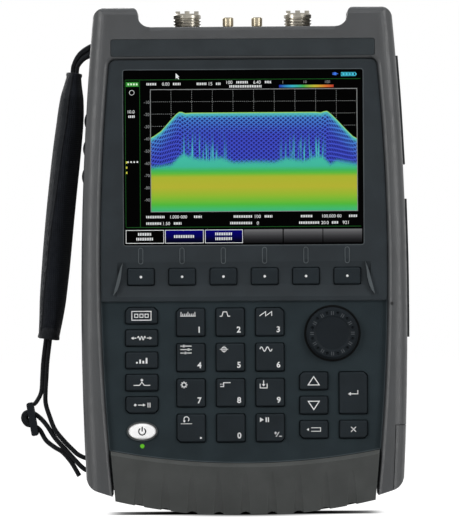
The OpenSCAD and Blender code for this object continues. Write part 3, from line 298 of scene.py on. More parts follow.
# Pieces from points and faces
def build(name, points, faces, material, body="case", slot=None, smooth=True):
    mesh = bpy.data.meshes.new(name)
    mesh.from_pydata([Vector(p) * MM for p in points], [], faces)
    mesh.materials.append(material)
    mesh.polygons.foreach_set("use_smooth", [smooth] * len(mesh.polygons))
    mesh.update()
    piece = bpy.data.objects.new(name, mesh)
    scene.collection.objects.link(piece)
    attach(piece, body)
    return piece


def thicken(piece, thickness):
    solid = piece.modifiers.new("solid", "SOLIDIFY")
    solid.thickness = thickness * MM
    solid.offset = -1


def map_places(piece, places):
    """Maps a piece by one place for each of its points"""
    layer = piece.data.uv_layers.new(name="uv")
    for loop in piece.data.loops:
        layer.data[loop.index].uv = places[loop.vertex_index]


def gather(parts):
    """The points and faces of several parts as one"""
    points, faces = [], []
    for more, more_faces in parts:
        faces += [tuple(len(points) + i for i in f) for f in more_faces]
        points += more
    return points, faces


def ring_faces(count, n, turned=False):
    """Faces between rings of n points, which look the other way when turned"""
    pairs = [(i * n + k, i * n + (k + 1) % n) for i in range(count - 1) for k in range(n)]
    return [(a, a + n, b + n, b) if turned else (a, b, b + n, a + n) for a, b in pairs]


def end_faces(count, n, turned=False):
    first, last = tuple(range(n)), tuple(range((count - 1) * n, count * n))
    return [first, last[::-1]] if turned else [first[::-1], last]


def circle(turn):
    return np.stack([np.cos(turn), np.sin(turn)], 1)


def arc(centre, r, start, end, n):
    return centre + r * circle(np.radians(np.linspace(start, end, n + 1)))


def unit(rows):
    return rows / np.linalg.norm(rows, axis=1)[:, None]


def run_of(line):
    """The length along a line up to each of its points"""
    return np.concatenate([[0], np.cumsum(np.linalg.norm(np.diff(line, axis=0), axis=1))])


def ahead_of(line):
    """The direction of a line at each of its points"""
    return unit(np.vstack([line[1:], line[-1:]]) - np.vstack([line[:1], line[:-1]]))


def smooth_curve(p, n):
    """A smooth line through points, with n steps from each to the next"""
    out = []
    for i in range(len(p) - 1):
        a, b, c, d = p[max(i - 1, 0)], p[i], p[i + 1], p[min(i + 2, len(p) - 1)]
        for t in np.arange(n) / n:
            out.append((2 * b + (c - a) * t + (2 * a - 5 * b + 4 * c - d) * t ** 2
                        + (3 * b - a - 3 * c + d) * t ** 3) / 2)
    return np.array(out + [p[-1]])


THIN = 0.42
GLYPH_WEIGHT = 0.026
DIGIT_RISE = 0.73


def glyphs(text, weight):
    """Points and faces of a number in the plane of the front, 1 high and centred"""
    data = bpy.data.curves.new("glyphs", "FONT")
    data.body = text
    data.resolution_u = 4
    data.offset = weight
    letters = bpy.data.objects.new("glyphs", data)
    scene.collection.objects.link(letters)
    mesh = bpy.data.meshes.new_from_object(letters.evaluated_get(bpy.context.evaluated_depsgraph_get()))
    points = np.array([v.co[:2] for v in mesh.vertices])
    faces = [tuple(p.vertices) for p in mesh.polygons]
    bpy.data.objects.remove(letters)
    bpy.data.curves.remove(data)
    bpy.data.meshes.remove(mesh)
    low, high = points.min(0), points.max(0)
    rise = DIGIT_RISE if "." in text or "-" in text else high[1] - low[1]
    return (points - (low + high) / 2) / rise, faces


class Print:
    """Flat shapes in the plane of the front, gathered into one thin piece"""

    def __init__(self, centre=(0, 0)):
        self.centre = np.array(centre, float)
        self.scale = 1.0
        self.points = []
        self.faces = []

    def face_set(self, points, faces):
        start = len(self.points)
        self.points += [tuple(self.centre + self.scale * p) for p in np.asarray(points, float)]
        self.faces += [tuple(start + i for i in f) for f in faces]

    def area(self, points):
        self.face_set(points, [tuple(range(len(points)))])

    def box(self, x0, z0, x1, z1):
        self.area([(x0, z0), (x1, z0), (x1, z1), (x0, z1)])

    def disc(self, centre, r, n=24):
        self.area(np.array(centre) + r * circle(np.linspace(0, 2 * math.pi, n, endpoint=False)))

    def line(self, points, width=THIN, closed=False):
        """A band along points, with mitred corners"""
        p = np.array(points, float)
        n = len(p)
        before = np.roll(p, 1, 0) if closed else np.vstack([2 * p[0] - p[1], p[:-1]])
        after = np.roll(p, -1, 0) if closed else np.vstack([p[1:], 2 * p[-1] - p[-2]])
        a, b = unit(p - before), unit(after - p)
        left = np.stack([-(a + b)[:, 1], (a + b)[:, 0]], 1)
        left /= np.maximum((left * np.stack([-a[:, 1], a[:, 0]], 1)).sum(1), 0.5)[:, None]
        both = np.vstack([p - left * width / 2, p + left * width / 2])
        spans = range(n if closed else n - 1)
        self.face_set(both, [(i, (i + 1) % n, n + (i + 1) % n, n + i) for i in spans])

    def ring(self, centre, r, width=THIN, start=0, end=360, n=28):
        closed = end - start == 360
        turn = np.radians(np.linspace(start, end, n, endpoint=not closed))
        self.line(np.array(centre) + r * circle(turn), width, closed)

    def dashes(self, start, end, width, dash=0.6, gap=0.6):
        start, end = np.array(start, float), np.array(end, float)
        length = np.linalg.norm(end - start)
        for t in np.arange(0, length - dash / 2, dash + gap):
            self.line([start + (end - start) * d / length for d in (t, min(t + dash, length))], width)

    def number(self, text, place, height, align=0.0, weight=0.0):
        """align is -1 to start at the place, 0 to be centred on it and 1 to end there"""
        points, faces = glyphs(text, weight)
        points = points * height
        points[:, 0] -= align * (points[:, 0].max() - points[:, 0].min()) / 2
        self.face_set(points + np.array(place), faces)

    def piece(self, name, y, material, body="case", thickness=0.05):
        made = build(name, [(x, y, z) for x, z in self.points], self.faces, material, body, smooth=False)
        thicken(made, thickness)
        return made


# Legends on the keys: numbers, arrows and plain signs, drawn in millimetres from the middle of a sign
WHITE = ink("white_ink", (250, 250, 250))
DARK = ink("dark_ink", (22, 24, 26))
LEGEND_LIFT = 0.03
DIGIT_H = 3.5
DIGIT_AT = (4.9, -4.3)
SIGN_LEFT = -6.0
SIGN_Z = 4.7
SIGN_SCALE = 1.25


def wave(width, height, turns, n=28):
    t = np.linspace(0, 1, n)
    return [(width * (x - 0.5), height / 2 * math.sin(2 * math.pi * turns * x)) for x in t]


def ruler(p):
    p.line([(-3.6, -0.9), (3.6, -0.9)])
    for i in range(9):
        p.line([(-3.2 + 0.8 * i, -0.9), (-3.2 + 0.8 * i, 1.0 if i % 4 == 0 else 0.2)], THIN * 0.8)


def band(p):
    p.line([(-2.4, -1), (-1.4, -1), (-0.8, 1), (0.8, 1), (1.4, -1), (2.4, -1)])


def ramp(p):
    p.line([(-3, -1), (-0.2, 1), (-0.2, -1), (2.6, 1), (2.6, -1)])


def sliders(p):
    for z, x in ((1.6, -1.0), (0, 1.2), (-1.6, -0.3)):
        p.line([(-2.6, z), (2.6, z)])
        p.disc((x, z), 0.62, 12)


def target(p):
    p.ring((0, 0), 1.05)
    p.line([(-1.9, 0), (1.9, 0)], THIN * 0.8)
    p.line([(0, -1.5), (0, 1.5)], THIN * 0.8)


def trace(p):
    p.line(wave(5.6, 2, 2))


def gear(p):
    p.ring((0, 0), 0.95)
    for a in range(0, 360, 45):
        c, s = math.cos(math.radians(a)), math.sin(math.radians(a))
        p.line([(1.1 * c, 1.1 * s), (1.6 * c, 1.6 * s)])


def fence(p):
    p.line([(-2.4, -0.9), (-0.8, -0.9), (-0.8, 0.9), (2.4, 0.9)])
    p.dashes((-2.4, 0.2), (-1.2, 0.2), THIN * 0.8, 0.4, 0.3)


def store(p):
    p.line([(-1.6, 0.4), (-1.6, -1.6), (1.6, -1.6), (1.6, 0.4)])
    p.line([(0, 1.9), (0, 0)])
    p.area([(-0.9, 0.2), (0, -0.9), (0.9, 0.2)])


def again(p):
    p.ring((0, 0.2), 1.15, THIN, -50, 220)
    p.area([(-1.7, -0.4), (-0.3, -0.4), (-1.0, -1.4)])
    p.line([(-2.6, -1.9), (2.6, -1.9)], THIN * 0.7)


def run_hold(p):
    p.area([(-2.2, -1.1), (-0.4, 0), (-2.2, 1.1)])
    for x in (0.7, 1.7):
        p.line([(x, -1.1), (x, 1.1)], 0.55)


def modes(p):
    p.line([(-4.8, -2.2), (4.8, -2.2), (4.8, 2.2), (-4.8, 2.2)], THIN, True)
    for x in (-2.6, 0, 2.6):
        p.line([(x - 0.8, -0.8), (x + 0.8, -0.8), (x + 0.8, 0.8), (x - 0.8, 0.8)], THIN * 0.9, True)


def span(p):
    p.line(wave(4, 1.8, 2.5))
    for s in (-1, 1):
        p.line([(2.6 * s, 0), (4.2 * s, 0)])
        p.area([(4.0 * s, 0.8), (4.0 * s, -0.8), (5.3 * s, 0)])


def heights(p):
    for x, h in ((-2.4, 0.9), (-0.8, 2.0), (0.8, 1.4), (2.4, 2.9)):
        p.line([(x, -1.6), (x, -1.6 + h)], 0.9)


def marker(p):
    p.line([(-4.2, -1.3), (-1.2, -1.3), (0, 0.3), (1.2, -1.3), (4.2, -1.3)])
    p.area([(0, 0.5), (0.8, 1.3), (0, 2.1), (-0.8, 1.3)])


def tools(p):
    p.area([(-3.4, -0.8), (-2.6, 0), (-3.4, 0.8), (-4.2, 0)])
    p.line([(-2.0, 0), (0.6, 0)])
    p.area([(0.5, -0.8), (1.8, 0), (0.5, 0.8)])
    p.line([(3, -1.2), (3, 1.2)])
    p.line([(4, -1.2), (4, 1.2)])


def arrow(p, up):
    p.line([(-3.2, -2.3 * up), (3.2, -2.3 * up), (0, 2.5 * up)], 0.6, True)


def back(p):
    p.area([(-4.2, 0), (-2.9, -0.9), (-2.9, 0.9)])
    p.line([(-1.6, -1), (3.8, -1), (3.8, 1), (-1.6, 1)])


def enter(p):
    p.line([(2.6, 1.5), (2.6, -0.6), (-1.6, -0.6)], THIN * 1.1)
    p.area([(-1.4, 0.5), (-3, -0.6), (-1.4, -1.7)])


def escape(p):
    for s in (-1, 1):
        p.line([(-1.4, -1.4 * s), (1.4, 1.4 * s)], THIN * 1.1)


def power(p):
    p.ring((0, 0), 2.0, 0.75, 122, 418)
    p.line([(0, 0), (0, 2.8)], 0.75)


def plus_minus(p):
    p.line([(3.2, -5.2), (5.0, -2.4)])
    p.line([(2.2, -3.0), (3.8, -3.0)])
    p.line([(3.0, -3.8), (3.0, -2.2)])
    p.line([(5.0, -4.9), (6.6, -4.9)])


def legend(key, *signs, material=WHITE, scale=1.0, corner=None):
    """Drawings on the middle of a key, and one in its upper left corner"""
    low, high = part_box(key)
    middle = (low + high) / 2 / MM
    sheet = Print((middle.x, middle.z))
    sheet.scale = scale
    for draw in signs:
        draw(sheet)
    if corner:
        trial = Print()
        trial.scale = SIGN_SCALE
        corner(trial)
        left = min(p[0] for p in trial.points)
        rises = [p[1] for p in trial.points]
        lift = SIGN_Z - (min(rises) + max(rises)) / 2
        sheet.scale = SIGN_SCALE
        sheet.centre = np.array([middle.x + SIGN_LEFT - left, middle.z + lift])
        corner(sheet)
    sheet.piece("legend_" + key, low.y / MM - LEGEND_LIFT, material, key)


def digit(text):
    return lambda p: p.number(text, DIGIT_AT, DIGIT_H, weight=GLYPH_WEIGHT)


DIGIT_SIGNS = [ruler, band, ramp, sliders, target, trace, gear, fence, store]
for number, sign in enumerate(DIGIT_SIGNS, 1):
    legend(f"digit_key_{number}", digit(str(number)), corner=sign)
legend("digit_key_0", digit("0"))
legend("point_key", lambda p: p.disc((DIGIT_AT[0] + 0.6, DIGIT_AT[1] - 1.3), 0.6), corner=again)
legend("sign_key", plus_minus, corner=run_hold)
for number, sign in enumerate((modes, span, heights, marker, tools), 1):
    legend(f"function_key_{number}", sign, scale=1.15)
for number in range(1, 7):
    legend(f"softkey_{number}", lambda p: p.disc((0, 0), 0.75, 16))
legend("up_key", lambda p: arrow(p, 1))
legend("down_key", lambda p: arrow(p, -1))
legend("back_key", back)
legend("enter_key", enter)
legend("escape_key", escape)
legend("power_key", power, material=DARK)


# Strokes round the face of the knob, and a dark ring round its foot: painted shade where the gap is
KNOB_AT = (50.7, 103.7)
STROKES = 12
STROKE_FROM = 10.6
STROKE_TO = 12.8
STROKE_SIDE = 0.55
STROKE_W = 0.4
SHADE_RING_OUT = 0.75
SHADE_RING_W = 1.2
SHADE_RING_THICK = 0.3
PANEL_LIFT = 0.02
strokes = Print(KNOB_AT)
for turn in np.radians(np.arange(STROKES) * 360 / STROKES):
    along = np.array([math.sin(turn), math.cos(turn)])
    for shift in (-STROKE_SIDE, STROKE_SIDE):
        beside = shift * np.array([math.cos(turn), -math.sin(turn)])
        strokes.line([along * STROKE_FROM + beside, along * STROKE_TO + beside], STROKE_W)
knob_low, knob_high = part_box("knob")
strokes.piece("knob_strokes", knob_low.y / MM - LEGEND_LIFT, ink("grey_ink", (86, 90, 94)), "knob")

# A dark ring on the panel round the knob: painted shade for the gap round its foot
shade_ring = Print(KNOB_AT)
shade_ring.ring((0, 0), (knob_high.x - knob_low.x) / 2 / MM + SHADE_RING_OUT, SHADE_RING_W, n=64)
shade_ring_rubber = moulded("shade_ring_rubber", (10, 12, 13), 0.6, wear=0.0)
shade_ring.piece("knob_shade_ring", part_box("keypad_panel")[0].y / MM - PANEL_LIFT, shade_ring_rubber, thickness=SHADE_RING_THICK)


# Painted highlights: light edges of the ticks, the display window and the power bezel, and the ends of the
# softkeys' scoop
FACE_Y = -33.5
TICK_RISE = 0.4
TICK_W = 2.5
TICK_H = 9.2
TICK_EDGE_W = 0.42
SCOOP_LIFT = 0.05
SCOOP_THICK = 1.6
WINDOW_EDGE = 0.5
WINDOW_R = 1.5
EDGE_W = 0.4
BEZEL_INSET = 0.22
SCOOP_OUTER = [(69.9, 145.2), (71.6, 141), (73.1, 135.5), (74.4, 130.5), (75.5, 126.1)]
SCOOP_INNER = [(69.9, 145.2), (70.5, 140.5), (71.2, 135.5), (72.9, 129.8), (75.5, 126.1)]
edge_highlight_plastic = moulded("edge_highlight_plastic", (88, 94, 97), 0.4, wear=0.0)


def tick_rims():
    # Light outlines round the ticks: painted highlights on their edges
    rims = Print()
    tick_z = (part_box("softkey_1")[1].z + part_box("display_glass")[0].z) / 2 / MM
    for number in range(1, 7):
        low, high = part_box(f"softkey_{number}")
        middle = np.array([(low.x + high.x) / 2 / MM, tick_z])
        straight = (0, (TICK_H - TICK_W) / 2)
        upper = arc(middle + straight, TICK_W / 2, 0, 180, 8)
        lower = arc(middle - straight, TICK_W / 2, 180, 360, 8)
        rims.line(np.vstack([upper, lower]), TICK_EDGE_W, True)
    rims.piece("tick_rims", FACE_Y - TICK_RISE - PANEL_LIFT, edge_highlight_plastic)


def scoop_ends():
    # Raised crescents of a lighter colour: painted highlights on the scoop's end walls
    ends = Print()
    outer = smooth_curve(np.array(SCOOP_OUTER), 5)
    inner = smooth_curve(np.array(SCOOP_INNER), 5)
    n = len(inner)
    faces = [(k, n + k, n + k + 1, k + 1) for k in range(n - 1)]
    for mirror in (1, -1):
        ends.face_set(np.vstack([inner, outer]) * (mirror, 1), [f[::mirror] for f in faces])
    ends.piece("scoop_ends", FACE_Y - SCOOP_LIFT, edge_highlight_plastic, thickness=SCOOP_THICK)


def window_edge():
    # A light line round the display window: a painted highlight on its edge
    edge = Print()
    low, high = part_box("display_glass")
    inset = WINDOW_EDGE - WINDOW_R
    x0, z0, x1, z1 = np.array([low.x, low.z, high.x, high.z]) / MM + np.array([-1, -1, 1, 1]) * inset
    corners = [((x1, z1), 0), ((x0, z1), 90), ((x0, z0), 180), ((x1, z0), 270)]
    loop = [arc(np.array(c), WINDOW_R, turn, turn + 90, 5) for c, turn in corners]
    edge.line(np.vstack(loop), EDGE_W, True)
    edge.piece("window_edge", FACE_Y - LEGEND_LIFT, edge_highlight_plastic)


def power_ring():
    """A painted highlight along the outer edge of the oval bezel round the power key"""
    low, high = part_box("power_bezel")
    middle = ((low.x + high.x) / 2 / MM, (low.z + high.z) / 2 / MM)
    outer = np.array([high.x - low.x, high.z - low.z]) / 2 / MM
    oval = arc(np.zeros(2), 1.0, 0, 360, 48)[:-1]
    edge = Print(middle)
    edge.line(oval * (outer - BEZEL_INSET), EDGE_W, True)
    edge.piece("power_ring_highlight", low.y / MM - LEGEND_LIFT, edge_highlight_plastic)


tick_rims()
scoop_ends()
window_edge()
power_ring()


# The picture on the display. Places on it are in its dots, from the upper left.
DOT = 0.0992
SCREEN_X = -77.18
SCREEN_Z = 258.62
SCREEN_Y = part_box("display_glass")[0].y / MM
PICTURE_Y, LINE_Y, YELLOW_Y, MARK_Y = [SCREEN_Y - lift for lift in (0.02, 0.04, 0.05, 0.06)]
PLOT = (240, 140, 1440, 850)
DIVISIONS = 10
PLOT_THICK = 0.015


def dots(x, y):
    return SCREEN_X + DOT * x, SCREEN_Z - DOT * y


def plot_point(u, v):
    return dots(PLOT[0] + u * (PLOT[2] - PLOT[0]), PLOT[3] - v * (PLOT[3] - PLOT[1]))


# Curves over the plot, as shares of its width and height
TOP_LINE = [(0, .606), (.02, .625), (.05, .66), (.1, .755), (.125, .80), (.14, .818), (.155, .815),
            (.17, .806), (.2, .81), (.8, .81), (.825, .806), (.84, .815), (.855, .818), (.87, .80), (.9, .75),
            (.95, .66), (.98, .61), (1, .592)]
FLOOR_LINE = [(0, .36), (.1, .385), (.14, .45), (.16, .47), (.2, .44), (.28, .42), (.34, .44), (.4, .40),
              (.5, .405), (.6, .40), (.66, .43), (.74, .41), (.8, .44), (.83, .445), (.87, .38), (.9, .41),
              (1, .38)]
STREAK_WINDOW = [(0, 0), (.14, 0), (.18, 1), (.3, .8), (.4, 0), (.6, 0), (.7, .8), (.82, 1), (.86, 0), (1, 0)]
LATTICE_CELLS = (42.0, 30.0)
NOISE_CELLS = 260
STREAK_CELLS = 150
FLOOR_COLOURS = [(0, (60, 190, 130)), (.056, (80, 190, 60)), (.13, (150, 190, 50)), (.2, (186, 184, 52)),
                 (.28, (176, 186, 50)), (.31, (100, 190, 60)), (.335, (66, 186, 90)), (.37, (66, 190, 160)),
                 (.48, (70, 196, 176))]


def density():
    """A density picture of a flat signal over its noise, from the place on the plot"""
    s = Shader("density_picture")
    place = s.uv()
    parts = s.add("SeparateXYZ", {0: place})
    u, v = parts.outputs[0], parts.outputs[1]
    depth = s.math("SUBTRACT", s.curve(u, TOP_LINE), v)
    fine = s.noise(1 / MM / NOISE_CELLS, 3.0, place, (1.7, 1.0, 1.0))
    floor = s.curve(u, FLOOR_LINE)
    rise = s.math("SUBTRACT", v, s.math("ADD", floor, s.math("MULTIPLY_ADD", fine, 0.16, -0.08)))
    cells_u = s.times(u, LATTICE_CELLS[0])
    cells_v = s.times(depth, LATTICE_CELLS[1])
    slants = []
    for operation in ("ADD", "SUBTRACT"):
        cell = s.math("FRACT", s.math(operation, cells_u, cells_v))
        slants.append(s.step(s.math("ABSOLUTE", s.math("SUBTRACT", cell, 0.5)), 0.2, 0.46))
    lattice = s.times(s.math("MAXIMUM", *slants), s.step(fine, 0.3, 0.6, 0.55, 1.0))
    body = s.mix(lattice, (24, 18, 104), (70, 78, 222))
    upper = s.times(lattice, s.step(depth, 0.0, 0.2, 0.8, 0.08))
    body = s.mix(upper, body, (78, 168, 226))
    streak = s.step(s.noise(1 / MM / STREAK_CELLS, 2.0, place, (1.0, 0.02, 1.0)), 0.52, 0.62)
    streak = s.times(streak, s.curve(u, STREAK_WINDOW))
    streak = s.times(streak, s.step(rise, 0.0, 0.26, 1.0, 0.0))
    body = s.mix(streak, body, (78, 200, 196))
    edge = s.step(depth, 0.004, 0.05, 1.0, 0.0)
    body = s.mix(edge, body, (84, 200, 196))
    body = s.mix(s.step(depth, 0.002, 0.012, 1.0, 0.0), body, (160, 210, 90))
    plain = s.ramp(v, FLOOR_COLOURS)
    speckled = s.mix(s.step(fine, 0.62, 0.7, 0.0, 0.35), plain, (66, 130, 200))
    floor_colour = s.mix(s.step(v, 0.31, 0.36), plain, speckled)
    colour = s.mix(s.step(rise, -0.012, 0.012), floor_colour, body)
    s.picture(colour, 0.2, 0.1)
    return s.material


def plot_piece():
    columns = sorted({u for u, v in TOP_LINE} | {round(i / 40, 4) for i in range(41)})
    tops = np.interp(columns, *zip(*TOP_LINE))
    rows = [0.0, 0.33, 0.66, 1.0]
    points, places = [], []
    for u, top in zip(columns, tops):
        for row in rows:
            x, z = plot_point(u, top * row)
            points.append((x, PICTURE_Y, z))
            places.append((u, top * row))
    n = len(rows)
    starts = [i * n + k for i in range(len(columns) - 1) for k in range(n - 1)]
    faces = [(a, a + n, a + n + 1, a + 1) for a in starts]
    piece = build("screen_density", points, faces, density(), smooth=False)
    map_places(piece, places)
    thicken(piece, PLOT_THICK)


plot_piece()


def screen_box(sheet, x0, y0, x1, y1):
    a, b = dots(x0, y1), dots(x1, y0)
    sheet.box(a[0], a[1], b[0], b[1])


def screen_line(sheet, places, width, closed=False):
    sheet.line([dots(*p) for p in places], width * DOT, closed)


def frame_of(x0, y0, x1, y1):
    return [(x0, y1), (x1, y1), (x1, y0), (x0, y0)]


def row_of_strokes(sheet, x, y, length, high=14):
    """Short strokes in a row, as small as writing"""
    sheet.dashes(dots(x, y), dots(x + length, y), high * DOT, 6 * DOT, 4 * DOT)


bright = Print()
TEXT_H = 19
NUMBERS = [("0.00", 330, 108), ("15", 590, 108), ("100", 700, 100), ("6.40", 860, 100), ("10.0", 128, 268),
           ("1.000 000", 400, 880), ("1.50", 330, 918), ("100", 860, 880), ("0", 860, 918),
           ("100.000 00", 1290, 880), ("20.0", 1250, 918), ("921", 1370, 918)]
STROKE_ROWS = [(218, 108, 60), (372, 108, 44), (510, 108, 56), (622, 108, 30), (740, 100, 70), (906, 100, 36),
               (700, 124, 190), (112, 296, 36), (212, 880, 110), (490, 880, 44), (212, 918, 90),
               (372, 918, 44), (720, 880, 110), (900, 880, 44), (700, 918, 130), (1110, 880, 70),
               (1390, 880, 50), (1100, 918, 120), (1290, 918, 40)]
POINTER = [(388, 45), (388, 78), (396, 70), (403, 82), (408, 79), (401, 67), (410, 66)]
for text, x, y in NUMBERS:
    bright.number(text, dots(x, y), TEXT_H * DOT)
for x, y, length in STROKE_ROWS:
    row_of_strokes(bright, x, y, length)
for x in range(108, 168, 18):
    bright.disc(dots(x, 560), 5 * DOT, 12)
bright.area([dots(*p) for p in POINTER])
bright.ring(dots(132, 157), 14 * DOT, 2.2 * DOT)
SOFT_LABELS = [(92, 315), (320, 545), (552, 773), (779, 1003), (1010, 1235), (1240, 1465)]
LABEL_TOP, LABEL_LOW = 955, 1034
for x0, x1 in SOFT_LABELS[:3]:
    screen_line(bright, frame_of(x0 + 2, LABEL_TOP + 2, x1 - 2, LABEL_LOW - 2), 3, True)
LABEL_ROWS = [[(980, 80), (1008, 100)], [(994, 120)], [(980, 100), (1008, 100)]]
for (x0, x1), rows in zip(SOFT_LABELS, LABEL_ROWS):
    for y, length in rows:
        row_of_strokes(bright, (x0 + x1 - length) / 2, y, length, 16)
bright.piece("screen_marks", LINE_Y, ink("screen_white", (214, 216, 216), GLOW))

GRID_W = 2.4 * DOT
faint = Print()
screen_line(faint, frame_of(*PLOT), 4, True)
for i in range(1, DIVISIONS):
    u = i / DIVISIONS
    top = np.interp(u, *zip(*TOP_LINE))
    faint.dashes(plot_point(u, top + 0.01), plot_point(u, 1), GRID_W)
for v in (0.9, 0.8, 0.7, 0.6):
    clear = [u for u in np.linspace(0, 1, 201) if np.interp(u, *zip(*TOP_LINE)) < v - 0.008]
    runs = np.split(np.array(clear), np.where(np.diff(clear) > 0.01)[0] + 1)
    for run in runs:
        if len(run) > 1:
            faint.dashes(plot_point(run[0], v), plot_point(run[-1], v), GRID_W)
for i in range(1, DIVISIONS):
    faint.number(f"-{10 * i}", dots(234, 142 + 71 * i), 18 * DOT, 1)
for i, text in enumerate(("1", "10", "100")):
    faint.number(text, dots(1010 + 130 * i, 100), 16 * DOT)
faint.piece("screen_grid", LINE_Y, ink("screen_grey", (124, 126, 126), GLOW))


def screen_piece(name, y, material, rgb, boxes=(), lines=()):
    """Boxes and lines of one colour, where a line of more than two points is closed"""
    sheet = Print()
    for box in boxes:
        screen_box(sheet, *box)
    for places, width in lines:
        screen_line(sheet, places, width, len(places) > 2)
    sheet.piece(name, y, ink(material, rgb, GLOW))


screen_piece("screen_frame", LINE_Y, "screen_dark_green", (22, 66, 26),
             lines=[([(178, 83), (178, 940)], 4), ([(96, 83), (1460, 83)], 4),
                    ([(96, 940), (1460, 940)], 4), ([(94, 83), (94, 940)], 3)])
screen_piece("screen_badge", LINE_Y, "screen_green", (48, 130, 48), [(98, 95, 172, 122)])
screen_piece("screen_badge_marks", MARK_Y, "screen_light_green", (196, 226, 190),
             [(x, 103, x + 10, 114) for x in range(108, 172, 16)])
screen_piece("screen_yellow", YELLOW_Y, "screen_yellow", (196, 190, 70),
             [(96, y, 104, y + 12) for y in (556, 586, 616)])
screen_piece("screen_battery", LINE_Y, "screen_cyan", (70, 190, 214),
             [(1434, 52, 1439, 61)] + [(x, 51, x + 14, 62) for x in range(1356, 1428, 18)],
             [(frame_of(1350, 47, 1432, 66), 3)])
screen_piece("screen_plug", LINE_Y, "screen_blue", (60, 110, 214), [(1306, 46, 1322, 62)],
             [([(1298, 50), (1306, 50)], 4), ([(1298, 58), (1306, 58)], 4), ([(1322, 54), (1332, 54)], 4)])


def graded(name, stops, axis):
    """Colours in a row across a display piece"""
    s = Shader(name)
    parts = s.add("SeparateXYZ", {0: s.uv()})
    s.picture(s.ramp(parts.outputs[axis], stops), 0.25, 0.02)
    return s.material


def graded_boxes(name, boxes, material):
    sheet = Print()
    for box in boxes:
        screen_box(sheet, *box)
    piece = sheet.piece(name, PICTURE_Y, material)
    map_places(piece, [(0, 0), (1, 0), (1, 1), (0, 1)] * len(boxes))


LABEL_BLUE = [(0, (0, 1, 12)), (0.25, (2, 2, 38)), (0.5, (5, 4, 80)), (0.75, (5, 2, 100)), (1, (7, 1, 120))]
LABEL_GREY = [(0, (12, 12, 13)), (0.25, (36, 36, 38)), (0.5, (60, 60, 62)), (0.75, (88, 88, 90)),
              (1, (116, 116, 118))]
SCALE_COLOURS = [(0, (40, 50, 180)), (.25, (60, 180, 200)), (.45, (70, 180, 80)), (.65, (200, 190, 60)),
                 (.85, (220, 120, 50)), (1, (190, 60, 50))]
label_boxes = [(x0, LABEL_TOP, x1, LABEL_LOW) for x0, x1 in SOFT_LABELS]
graded_boxes("screen_blue_labels", label_boxes[1:3], graded("screen_label_blue", LABEL_BLUE, 1))
graded_boxes("screen_grey_labels", label_boxes[3:], graded("screen_label_grey", LABEL_GREY, 1))
graded_boxes("screen_scale", [(988, 117, 1305, 132)], graded("screen_scale", SCALE_COLOURS, 0))


# A painted highlight: a thin light edge round the keypad panel
RIM_W = 0.55
SAME_PLANE = 0.01


def front_outline(node):
    """The widest edge loop of a node's front face, and the place of that face"""
    mesh = nodes[node].data
    places = [tuple(round(c / MM, 3) for c in v.co) for v in mesh.vertices]
    front = min(p[1] for p in places)
    edges = {}
    for face in mesh.polygons:
        corners = [places[i] for i in face.vertices]
        if all(abs(c[1] - front) < SAME_PLANE for c in corners):
            for a, b in zip(corners, corners[1:] + corners[:1]):
                if edges.get(b) is not None and a in edges[b]:
                    edges[b].remove(a)
                else:
                    edges.setdefault(a, []).append(b)
    loops = []
    while any(edges.values()):
        start = next(a for a in edges if edges[a])
        loop, here = [], start
        while edges.get(here):
            loop.append((here[0], here[2]))
            here = edges[here].pop()
            if here == start:
                break
        loops.append(loop)
    return max(loops, key=lambda loop: max(loop)[0] - min(loop)[0]), front


outline, panel_front = front_outline("keypad_panel")
rim = Print()
rim.line(outline, RIM_W, True)
rim.piece("panel_rim_highlight", panel_front - PANEL_LIFT, moulded("rim_highlight_plastic", (74, 82, 86), 0.4, wear=0.0))


# Inside the coaxial ports: insulators and contacts
PORT_STEPS = 32
FILLING_BEVEL = 0.08
N_PORTS = (-32, 32)
SMA_PORTS = (-8.35, 8.35)


def turned_piece(profile, x):
    """A closed ring round the upright axis at x, from a profile of radius and height"""
    n = len(profile)
    turns = [2 * math.pi * i / PORT_STEPS for i in range(PORT_STEPS)]
    points = [(x + r * math.cos(t), r * math.sin(t), z) for t in turns for r, z in profile]
    faces = []
    for i in range(PORT_STEPS):
        here, there = i * n, (i + 1) % PORT_STEPS * n
        faces += [(here + k, there + k, there + (k + 1) % n, here + (k + 1) % n) for k in range(n)]
    return points, faces


def port_fillings(name, places, profile, material):
    points, faces = gather([turned_piece(profile, x) for x in places])
    soften(build(name, points, faces, material), FILLING_BEVEL)


insulator = moulded("port_insulator", (226, 222, 210), 0.35, wear=0.0)
gold = plated("contact_gold", (222, 182, 96), 0.2)
N_INSULATOR = [(1.7, 274.1), (4.25, 274.1), (4.25, 279.5), (1.7, 279.5)]
N_CONTACT = [(0.6, 281.9), (1.62, 281.9), (1.62, 285.5), (1.3, 286), (0.6, 286)]
SMA_INSULATOR = [(0.65, 275.1), (2.05, 275.1), (2.05, 282.6), (0.65, 282.6)]
port_fillings("n_insulators", N_PORTS, N_INSULATOR, insulator)
port_fillings("n_contacts", N_PORTS, N_CONTACT, gold)
port_fillings("sma_insulators", SMA_PORTS, SMA_INSULATOR, insulator)


# Hand strap: the routes of its webbing and of the padded grip, as in the model
HALF_W = 94
UPPER_BAR = np.array([-82.79, 268.5])
LOWER_BAR = np.array([-86.53, 28.5])
BAR_R = 2
STRAP_Y = 4
WEB_W = 16
WEB_T = 2
WEB_HALF = 1.2
STRAP_GAP = 0.3
PAD_T = 13.6
PAD_W = 44
PAD_ROUTE = [(3.6, -13.3), (4.8, -24.3), (6.2, -41.6), (8.5, -58.8), (11.4, -84.8), (14, -110.7),
             (16.3, -136.6), (17.8, -153.9), (19.6, -167.4)]
UPPER_ROUTE = [(-7, -0.2), (-1, -3.5), (2.6, -8.6), (3.4, STRAP_GAP - 13.1), (3.8, -15.5)]
HANGING_ROUTE = [(20.3, 60.2), (20.9, 51.6), (21.5, 42.3), (21.4, 35.1), (19, 27.2), (16.2, 20.2),
                 (11.2, 13.8), (5.9, 8.3), (2.6, 5.4), (-2.1, 3.4)]
